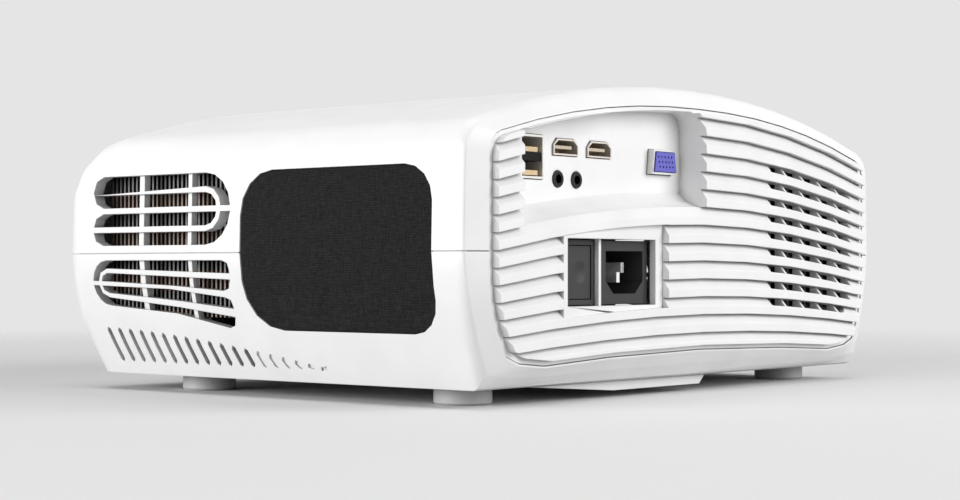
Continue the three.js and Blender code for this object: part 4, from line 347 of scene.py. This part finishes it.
def speaker_cloth():
    """Dark plain-woven cloth: two sets of threads that pass over and under, in uneven greys, with painted
    shade where the weave lies low.
    """
    graph = Graph("woven_speaker_cloth")
    places = graph.axes()
    warp, weft = (
        graph.math("SINE", graph.math("MULTIPLY", places[axis], math.pi / (CLOTH_PITCH * MM)))
        for axis in ("Y", "Z")
    )
    warp_over = graph.math("GREATER_THAN", graph.math("MULTIPLY", warp, weft), 0.0)
    weft_over = graph.math("SUBTRACT", 1.0, warp_over)
    heights = []
    for wave, over in ((warp, warp_over), (weft, weft_over)):
        share = graph.math("ADD", graph.math("MULTIPLY", over, 0.6), 0.4)
        heights.append(graph.math("MULTIPLY", graph.math("ABSOLUTE", wave), share))
    weave = graph.math("MAXIMUM", *heights)
    along = graph.noise(1.0, 4.0, 0.75, (160.0, 2400.0, 220.0))
    across = graph.noise(1.0, 4.0, 0.75, (160.0, 220.0, 2400.0))
    slubs = graph.math("MULTIPLY", graph.math("ADD", along, across), 0.5)
    # Painted shade: the colour follows the weave's height, darker towards each thread's edges and where it
    # passes under.
    tone = graph.math("ADD", graph.math("MULTIPLY", weave, 0.3), graph.math("MULTIPLY", slubs, 0.95))
    graph.set(Base_Color=graph.ramp(tone, (0.42, grey(6)), (0.62, grey(22)), (0.82, grey(54))))
    graph.set(Roughness=0.92, Sheen_Weight=0.1, Sheen_Roughness=0.5, Specular_IOR_Level=0.05)
    graph.bump(weave, 0.1 * MM, 0.5)
    return graph.material


def circuit_board():
    low, high = (0.008, 0.07, 0.028), (0.014, 0.11, 0.04)
    return moulded("circuit_board", low, high, 0.35, 1800.0, 0.03 * MM, 0.1 * MM).material


def optical_glass():
    graph = Graph("coated_glass")
    graph.set(Base_Color=graph.ramp(graph.noise(20.0), (0.3, (0.9, 0.95, 1.0)), (0.7, (0.95, 0.92, 1.0))))
    graph.set(Transmission_Weight=1.0, Roughness=0.02, IOR=1.52, Coat_Weight=0.6, Coat_Roughness=0.02)
    graph.set(Coat_Tint=(0.55, 0.45, 1.0, 1.0))
    return graph.material


looks = {
    "shell_white": white_plastic(),
    "speaker_cloth": speaker_cloth(),
    "black_plastic": black_plastic(),
    "gloss_black": gloss_black(),
    "inlet_grey": dark_plastic(),
    "ring_grey": ring_grey(),
    "plated_metal": metal(
        "nickel_plate", (0.6, 0.59, 0.56), (0.76, 0.75, 0.72), 0.26, stretch=(0.2, 1.0, 1.0),
    ),
    "socket_blue": socket_blue(),
    "circuit_board": circuit_board(),
    "lamp_metal": metal("lamp_sheet", (0.5, 0.5, 0.5), (0.64, 0.64, 0.63), 0.35),
    "sink_metal": fin_metal(),
    "optical_glass": optical_glass(),
    "mirror_face": metal("mirror_silver", (0.86, 0.88, 0.9), (0.9, 0.92, 0.93), 0.08, scale=60.0),
}
foot_look = soft_white_plastic()
port_steel = metal("port_steel", (0.56, 0.55, 0.53), (0.66, 0.65, 0.63), 0.36, metallic=0.4)
warm_steel = metal("warm_port_steel", (0.5, 0.465, 0.425), (0.6, 0.56, 0.52), 0.36, metallic=0.4)
hdmi_tongue = hdmi_plastic()
own_looks = {
    "usb_socket": port_steel,
    "vga_shell": metal("tinned_steel", (0.62, 0.62, 0.61), (0.74, 0.74, 0.73), 0.3, metallic=0.5),
    "hdmi_shell_1": warm_steel,
    "hdmi_shell_2": warm_steel,
    "hdmi_tongue_1": hdmi_tongue,
    "hdmi_tongue_2": hdmi_tongue,
    "usb_insulator": usb_plastic(),
    "av_jack": jack_plastic("av_jack_plastic", AV_JACK_X),
    "headphone_jack": jack_plastic("headphone_jack_plastic", HEADPHONE_JACK_X),
    "mains_inlet_pins": metal("brass_nickel_pins", (0.74, 0.74, 0.73), (0.86, 0.86, 0.85), 0.3, metallic=0.6),
    "rear_fan_guard": guard_plastic(),
}


class Case:
    """The outer form of the case in millimetres, as its two shells are made."""

    half_width = 145.0
    base_inset = 12.0
    front_y = -114.2
    soft_start_y = 103.7
    rim_face_y = 111.7
    rim_land = 0.6
    bottom_z = 6.75
    crest_z = 123.3
    parting_z = 56.5
    roof_drop = 22.0
    roof_power = 2.15
    side_power = 1.6
    side_lean = 0.8
    shoulder = 10.0
    corner_radius = 12.5
    front_depth = 31.0
    front_drop = 39.5
    chin_depth = 9.3
    chin_top_z = 32.8
    chin_fade = 60.0
    panel_half_width = 134.0
    panel_crest_z = 115.0
    panel_drop = 17.2
    panel_power = 2.2
    panel_corner = 7.0
    panel_side_inset = 9.2
    panel_low_z = 18.7
    panel_corner_rise = 5.2
    panel_bottom_z = 17.5
    panel_bottom_drop = 4.4
    # How far towards the rim's face, and how far the sides, top and bottom have drawn in by then.
    rim_shares = (
        (0.25, 0.0, 0.08, 0.08), (0.475, 0.02, 0.2, 0.35), (0.6, 0.08, 0.34, 0.49), (0.66, 0.2, 0.42, 0.56),
        (1.0, 1.0, 1.0, 1.0),
    )
    bottom_shares = (0.94, 0.82, 0.5, 0.0)
    roof_count = 28
    bend_count = 10
    upper_count = 4
    lower_count = 16
    front_count = 18


def mix(low, high, share):
    return low + (high - low) * share


def bend_points(start, corner, end, count):
    """The points of a quadratic curve after its start."""
    points = []
    for step in range(1, count + 1):
        t = step / count
        points.append(tuple(
            (1 - t) ** 2 * a + 2 * t * (1 - t) * b + t ** 2 * c for a, b, c in zip(start, corner, end)
        ))
    return points


def roof_points(roof, end_x):
    """Points along a roof line from the middle to where its corner bend starts."""
    spots = [end_x * k / (Case.roof_count - 1) for k in range(Case.roof_count)]
    return [(x, roof(x)) for x in spots]


def side_x(z):
    """How far out the case's side stands at a height."""
    drop = max(0.0, (Case.parting_z - z) / (Case.parting_z - Case.bottom_z))
    return Case.half_width - Case.base_inset * drop ** Case.side_power


def case_half():
    """Half the case's outline from the crest down the +X side to the middle of the floor."""
    top_x = Case.half_width - Case.side_lean

    def roof(x):
        return Case.crest_z - Case.roof_drop * (x / Case.half_width) ** Case.roof_power

    points = roof_points(roof, top_x - Case.shoulder)
    end = (top_x, roof(top_x) - Case.shoulder)
    points += bend_points(points[-1], (top_x, roof(top_x)), end, Case.bend_count)
    for k in range(1, Case.upper_count + 1):
        share = k / Case.upper_count
        points.append((mix(top_x, Case.half_width, share), mix(end[1], Case.parting_z, share)))
    for k in range(1, Case.lower_count + 1):
        z = mix(Case.parting_z, Case.bottom_z, k / Case.lower_count)
        points.append((side_x(z), z))
    points += [(side_x(Case.bottom_z) * share, Case.bottom_z) for share in Case.bottom_shares]
    return points


def panel_half():
    """Half the rim's inner outline, point for point like the case's."""
    half = Case.panel_half_width + Case.rim_land

    def roof(x):
        drop = Case.panel_drop * (x / Case.panel_half_width) ** Case.panel_power
        return Case.panel_crest_z + Case.rim_land - drop

    points = roof_points(roof, half - Case.panel_corner)
    end = (half, roof(half) - Case.panel_corner)
    points += bend_points(points[-1], (half, roof(half)), end, Case.bend_count)
    for k in range(1, Case.upper_count + 1):
        points.append((half, mix(end[1], Case.parting_z, k / Case.upper_count)))
    low_z = Case.panel_low_z - Case.rim_land
    low_x = half - Case.panel_side_inset
    for k in range(1, Case.lower_count + 1):
        share = k / Case.lower_count
        points.append((half - Case.panel_side_inset * share ** 3, mix(Case.parting_z, low_z, share)))
    turn_x = Case.bottom_shares[1] * low_x
    for share in Case.bottom_shares:
        x = share * low_x
        drop = Case.panel_bottom_drop * (x / low_x) ** 2
        rise = Case.panel_corner_rise * max(0.0, (x - turn_x) / (low_x - turn_x)) ** 2
        points.append((x, Case.panel_bottom_z - Case.rim_land - drop + rise))
    return points


def front_ring(y):
    """One cross-section of the case, drawn in towards the front face and leaned back at the chin."""
    depth = max(0.0, y - Case.front_y)
    plan = max(0.0, Case.corner_radius - depth)
    side_inset = Case.corner_radius - math.sqrt(Case.corner_radius ** 2 - plan ** 2)
    turn = max(0.0, 1 - depth / Case.front_depth)
    drop = Case.front_drop * (1 - math.sqrt(1 - turn ** 2))
    shoulder_z = Case.crest_z - Case.roof_drop
    fade = max(0.0, 1 - depth / Case.chin_fade)
    ring = []
    for x, z in case_half():
        upper = min(1.0, max(0.0, (z - Case.parting_z) / (shoulder_z - Case.parting_z)))
        chin = min(1.0, max(0.0, (Case.chin_top_z - z) / (Case.chin_top_z - Case.bottom_z)))
        narrow = (Case.half_width - side_inset) / Case.half_width
        ring.append((x * narrow, y + Case.chin_depth * chin * fade, z - drop * upper))
    return ring


def case_rings():
    """The case's cross-sections from the front face to the rim's flat face at the rear."""
    rings = []
    for k in range(Case.front_count, -1, -1):
        depth = Case.front_depth * (1 - math.sin(math.pi / 2 * k / Case.front_count))
        rings.append(front_ring(Case.front_y + depth))
    rings.append(front_ring(Case.front_y + Case.chin_fade))
    outline, inner = case_half(), panel_half()
    rings.append([(x, Case.soft_start_y, z) for x, z in outline])
    for along, side, top, bottom in Case.rim_shares:
        y = mix(Case.soft_start_y, Case.rim_face_y, along)
        rings.append([
            (mix(x, inner[k][0], side), y, mix(z, inner[k][1], top if z > Case.parting_z else bottom))
            for k, (x, z) in enumerate(outline)
        ])
    return rings


def smooth_case():
    """The uncut case as points in metres and the triangles between them, with its front face closed."""
    rings = case_rings()
    half_length = len(rings[0])
    count = 2 * half_length - 2
    points = []
    for ring in rings:
        points += ring + [(-x, y, z) for x, y, z in ring[-2:0:-1]]
    triangles = []
    for r in range(len(rings) - 1):
        for k in range(count):
            a, b = r * count + k, r * count + (k + 1) % count
            triangles += [(a, b, b + count), (a, b + count, a + count)]
    for k in range(half_length - 1):
        p, q, s, t = k, k + 1, (count - k - 1) % count, (count - k) % count
        triangles += [(q, p, s), (s, p, t)]
    spots = np.array(points) * MM
    corners = np.array([face for face in triangles if len({points[i] for i in face}) == 3])
    return spots, corners


def facing(spots, corners):
    """Each triangle's direction and area."""
    a, b, c = (spots[corners[:, k]] for k in range(3))
    cross = np.cross(b - a, c - a)
    size = np.linalg.norm(cross, axis=1)
    return cross / np.maximum(size, NO_AREA)[:, None], size / 2


def flat_regions(keys, directions):
    """Numbers the groups of touching triangles that lie in one plane."""
    parent = list(range(len(keys)))

    def top(index):
        while parent[index] != index:
            parent[index] = parent[parent[index]]
            index = parent[index]
        return index

    first = {}
    for index, face in enumerate(keys):
        for k in range(3):
            edge = tuple(sorted((face[k], face[(k + 1) % 3])))
            other = first.setdefault(edge, index)
            if other != index and directions[index] @ directions[other] > FLAT_COSINE:
                parent[top(index)] = top(other)
    return np.array([top(index) for index in range(len(keys))])


def corner_directions(spots, corners):
    """The direction of every triangle corner, shared between the flat areas that meet softly there."""
    directions, areas = facing(spots, corners)
    unused, keys = np.unique(np.round(spots / KEY_STEP).astype(np.int64), axis=0, return_inverse=True)
    keys = keys.reshape(-1)[corners]
    regions = flat_regions(keys.tolist(), directions)
    total = np.zeros((len(corners), 3))
    np.add.at(total, regions, directions * areas[:, None])
    size = np.linalg.norm(total, axis=1)
    meeting = {}
    for index, face in enumerate(keys.tolist()):
        for key in face:
            meeting.setdefault(key, set()).add(int(regions[index]))
    made = np.repeat(directions[:, None, :], 3, axis=1)
    for index, face in enumerate(keys.tolist()):
        for k, key in enumerate(face):
            group = [r for r in meeting[key] if total[r] @ directions[index] > SOFT_COSINE * size[r]]
            if group:
                made[index, k] = total[group].sum(axis=0)
    length = np.linalg.norm(made, axis=2)
    made[length < NO_LENGTH] = (0.0, 0.0, 1.0)
    return made / np.maximum(length, NO_LENGTH)[:, :, None]


def outer_directions(spots, corners, made):
    """Takes the outer faces' directions from the uncut case, so that no cut-out disturbs them."""
    case_spots, case_corners = smooth_case()
    case_made = corner_directions(case_spots, case_corners)
    tree = BVHTree.FromPolygons(case_spots.tolist(), case_corners.tolist())
    directions, unused = facing(spots, corners)
    for index, face in enumerate(corners):
        middle = spots[face].mean(axis=0)
        hit, normal, unused, unused = tree.find_nearest(Vector(middle), OUTER_REACH)
        if hit is None or directions[index] @ np.array(normal) < OUTER_COSINE:
            continue
        for k in range(3):
            spot = spots[face[k]] * (1 - INSIDE_CORNER) + middle * INSIDE_CORNER
            hit, unused, place, unused = tree.find_nearest(Vector(spot))
            shares = barycentric(np.array(hit), case_spots[case_corners[place]])
            direction = shares @ case_made[place]
            if direction @ directions[index] > OUTER_COSINE * np.linalg.norm(direction):
                made[index, k] = direction / np.linalg.norm(direction)


def barycentric(spot, triangle):
    """The shares of a triangle's corners at a spot on it."""
    a, b, c = triangle
    u, v, w = b - a, c - a, spot - a
    uu, uv, vv, wu, wv = u @ u, u @ v, v @ v, w @ u, w @ v
    span = max(uu * vv - uv * uv, NO_SPAN)
    second = (vv * wu - uv * wv) / span
    third = (uu * wv - uv * wu) / span
    return np.array([1 - second - third, second, third])


def unfold_rim(mesh):
    """Cuts the lower rim's flat face afresh from its own edge, because its triangles lie folded."""
    rim_y = Case.rim_face_y * MM
    build = bmesh.new()
    build.from_mesh(mesh)
    flat = [face for face in build.faces if all(abs(v.co.y - rim_y) < KEY_STEP for v in face.verts)]
    keyed = {}
    steps = {}
    for face in flat:
        for loop in face.loops:
            ends = [tuple(round(c / KEY_STEP) for c in v.co) for v in (loop.vert, loop.link_loop_next.vert)]
            keyed[ends[0]] = loop.vert
            steps.setdefault(ends[0], set()).add(ends[1])
    border = {a: [b for b in after if a not in steps.get(b, ())] for a, after in steps.items()}
    border = {a: after[0] for a, after in border.items() if after}
    start = key = next(iter(border))
    ring = []
    while not ring or key != start:
        ring.append(keyed[key])
        key = border[key]
    cuts = tessellate_polygon([[Vector((v.co.x, v.co.z, 0.0)) for v in ring]])
    edges = {edge for face in flat for edge in face.edges}
    for face in flat:
        build.faces.remove(face)
    for cut in cuts:
        made = build.faces.new([ring[k] for k in cut])
        made.normal_update()
        if made.normal.y < 0:
            made.normal_flip()
    for edge in edges:
        if edge.is_valid and not edge.link_faces:
            build.edges.remove(edge)
    build.to_mesh(mesh)
    build.free()


def dress(node, material):
    """Gives a CAD node its material and soft shading, after the lower rim's flat face is cut afresh."""
    mesh = node.data
    if node.name == "lower_shell":
        unfold_rim(mesh)
    mesh.materials.clear()
    mesh.materials.append(material)
    mesh.shade_smooth()
    spots = np.array([vertex.co for vertex in mesh.vertices])
    corners = np.array([face.vertices for face in mesh.polygons])
    made = corner_directions(spots, corners)
    if node.name in ("upper_shell", "lower_shell"):
        outer_directions(spots, corners, made)
    mesh.normals_split_custom_set(made.reshape(-1, 3).tolist())


def seam_path():
    """The case's outline at the joint of its shells, from the rear by one side to the front's middle."""
    radius = Case.corner_radius
    points = []
    for along, inset, unused, unused in reversed(Case.rim_shares[:-1]):
        x = mix(Case.half_width, Case.panel_half_width + Case.rim_land, inset)
        points.append((x, mix(Case.soft_start_y, Case.rim_face_y, along)))
    for k in range(SEAM_STEPS):
        points.append((Case.half_width, mix(Case.soft_start_y, Case.front_y + radius, k / SEAM_STEPS)))
    for k in range(CORNER_STEPS + 1):
        turn = math.pi / 2 * k / CORNER_STEPS
        x = Case.half_width - radius + radius * math.cos(turn)
        points.append((x, Case.front_y + radius - radius * math.sin(turn)))
    for k in range(1, SEAM_STEPS + 1):
        points.append(((Case.half_width - radius) * (1 - k / SEAM_STEPS), Case.front_y))
    return points


def seam_runs():
    """The stretches of the joint that no speaker panel or lens bezel takes up."""
    half = seam_path()
    speaker_low, speaker_high = (corner[1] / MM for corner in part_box("speaker_grille_right"))
    bezel_low, bezel_high = (corner[0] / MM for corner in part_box("lens_bezel"))
    runs = [[]]
    for x, y in half + [(-x, y) for x, y in half[-2::-1]]:
        if y < Case.front_y + SEAM_MARGIN:
            taken = bezel_low - SEAM_MARGIN < x < bezel_high + SEAM_MARGIN
        else:
            taken = speaker_low - SEAM_MARGIN < y < speaker_high + SEAM_MARGIN
        if not taken:
            runs[-1].append(Vector((x, y, 0.0)))
        elif runs[-1]:
            runs.append([])
    return [run for run in runs if len(run) > 1]


def seam_lip():
    """The tongue of the lower shell that closes the joint just behind the surface."""
    points, faces = [], []
    low, high = (Vector((0.0, 0.0, Case.parting_z + side * SEAM_GAP / 2)) for side in (-1, 1))
    for run in seam_runs():
        first = len(points)
        for k, place in enumerate(run):
            ahead = (run[min(k + 1, len(run) - 1)] - run[max(k - 1, 0)]).normalized()
            inward = Vector((ahead.y, -ahead.x, 0.0))
            near, far = place + inward * LIP_DEPTH, place + inward * (LIP_DEPTH + LIP_THICKNESS)
            points += [near + low, near + high, far + high, far + low]
        last = len(points) - 4
        for start in range(first, last, 4):
            for k in range(4):
                after = (k + 1) % 4
                faces.append((start + k, start + after, start + 4 + after, start + 4 + k))
        faces += [(first + 3, first + 2, first + 1, first), (last, last + 1, last + 2, last + 3)]
    mesh = bpy.data.meshes.new("seam_lip")
    mesh.from_pydata([tuple(point * MM) for point in points], [], faces)
    mesh.materials.append(looks["shell_white"])
    lip = bpy.data.objects.new("seam_lip", mesh)
    scene.collection.objects.link(lip)
    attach(lip, "chassis")
    build = bmesh.new()
    build.from_mesh(mesh)
    bmesh.ops.recalc_face_normals(build, faces=build.faces)
    build.to_mesh(mesh)
    build.free()


def seen_directly(tree):
    """One for rays from the camera, or through a clear reflection or glass, and else zero."""
    rays = tree.nodes.new("ShaderNodeLightPath")
    seen = rays.outputs["Is Camera Ray"]
    for other in ("Is Glossy Ray", "Is Transmission Ray"):
        either = tree.nodes.new("ShaderNodeMath")
        either.operation = "MAXIMUM"
        tree.links.new(seen, either.inputs[0])
        tree.links.new(rays.outputs[other], either.inputs[1])
        seen = either.outputs[0]
    return seen


def stage_floor():
    """A pale floor that fades into the backdrop, keeps the shadow and throws little light back."""
    half = FLOOR_SIZE / 2
    corners = [(-half, -half, 0), (half, -half, 0), (half, half, 0), (-half, half, 0)]
    mesh = bpy.data.meshes.new("floor")
    mesh.from_pydata(corners, [], [(0, 1, 2, 3)])
    floor = bpy.data.objects.new("floor", mesh)
    scene.collection.objects.link(floor)
    graph = Graph("studio_floor")
    tree = graph.tree
    bounce, seen = (*grey(FLOOR_BOUNCE_GREY), 1.0), (*grey(FLOOR_SEEN_GREY), 1.0)
    tone = graph.blend(seen_directly(tree), bounce, seen)
    graph.set(Base_Color=tone, Roughness=0.9, Specular_IOR_Level=0.1)
    places = graph.axes()
    squares = [graph.math("POWER", places[axis], 2.0) for axis in ("X", "Y")]
    reach = graph.math("SQRT", graph.math("ADD", *squares))
    clear = tree.nodes.new("ShaderNodeBsdfTransparent")
    mixed = graph.node("ShaderNodeMixShader", {"Fac": graph.fade(reach, FLOOR_FADE_START, FLOOR_FADE_END)})
    tree.links.new(graph.shader.outputs["BSDF"], mixed.inputs[1])
    tree.links.new(clear.outputs["BSDF"], mixed.inputs[2])
    tree.links.new(mixed.outputs["Shader"], tree.nodes["Material Output"].inputs["Surface"])
    mesh.materials.append(graph.material)


def studio_world():
    """Soft light from all round; the camera and clear reflections see the pale backdrop."""
    world = bpy.data.worlds.new("studio")
    scene.world = world
    world.use_nodes = True
    tree = world.node_tree
    light = tree.nodes["Background"]
    light.inputs["Color"].default_value = (1.0, 1.0, 1.0, 1.0)
    light.inputs["Strength"].default_value = WORLD_STRENGTH
    shown = tree.nodes.new("ShaderNodeBackground")
    shown.inputs["Color"].default_value = (*grey(BACKDROP_GREY), 1.0)
    shown.inputs["Strength"].default_value = 1.0
    mixed = tree.nodes.new("ShaderNodeMixShader")
    tree.links.new(seen_directly(tree), mixed.inputs[0])
    tree.links.new(light.outputs[0], mixed.inputs[1])
    tree.links.new(shown.outputs[0], mixed.inputs[2])
    tree.links.new(mixed.outputs[0], tree.nodes["World Output"].inputs["Surface"])


def soft_box(name, place, target, size, power):
    """An area lamp at a place in metres, turned to a target, with its power in watts."""
    lamp = bpy.data.lights.new(name, "AREA")
    lamp.shape = "RECTANGLE"
    lamp.size, lamp.size_y = size
    lamp.energy = power
    holder = bpy.data.objects.new(name, lamp)
    scene.collection.objects.link(holder)
    holder.location = place
    holder.rotation_euler = (Vector(target) - Vector(place)).to_track_quat("-Z", "Y").to_euler()


def stage_camera():
    """The photograph's long lens, level with the case, with the picture shifted up a little."""
    data = bpy.data.cameras.new("camera")
    data.sensor_width = SENSOR_WIDTH
    data.lens = FOCAL_LENGTH
    data.shift_y = PICTURE_SHIFT
    data.clip_start = CLIP_START
    data.clip_end = CLIP_END
    camera = bpy.data.objects.new("camera", data)
    scene.collection.objects.link(camera)
    camera.location = CAMERA_PLACE
    camera.rotation_euler = Vector(CAMERA_DIRECTION).to_track_quat("-Z", "Y").to_euler()
    scene.camera = camera


for entry in frame["record"]["subparts"]:
    name = entry["node"]
    look = own_looks.get(name, looks[entry["material_slot"]])
    if name.startswith("foot_") and not name.endswith("stem"):
        look = foot_look
    dress(nodes[name], look)
seam_lip()
stage_floor()
studio_world()
for name, place, target, size, power in LAMPS:
    soft_box(name, place, target, size, power)
stage_camera()

scene.view_settings.view_transform = "Standard"
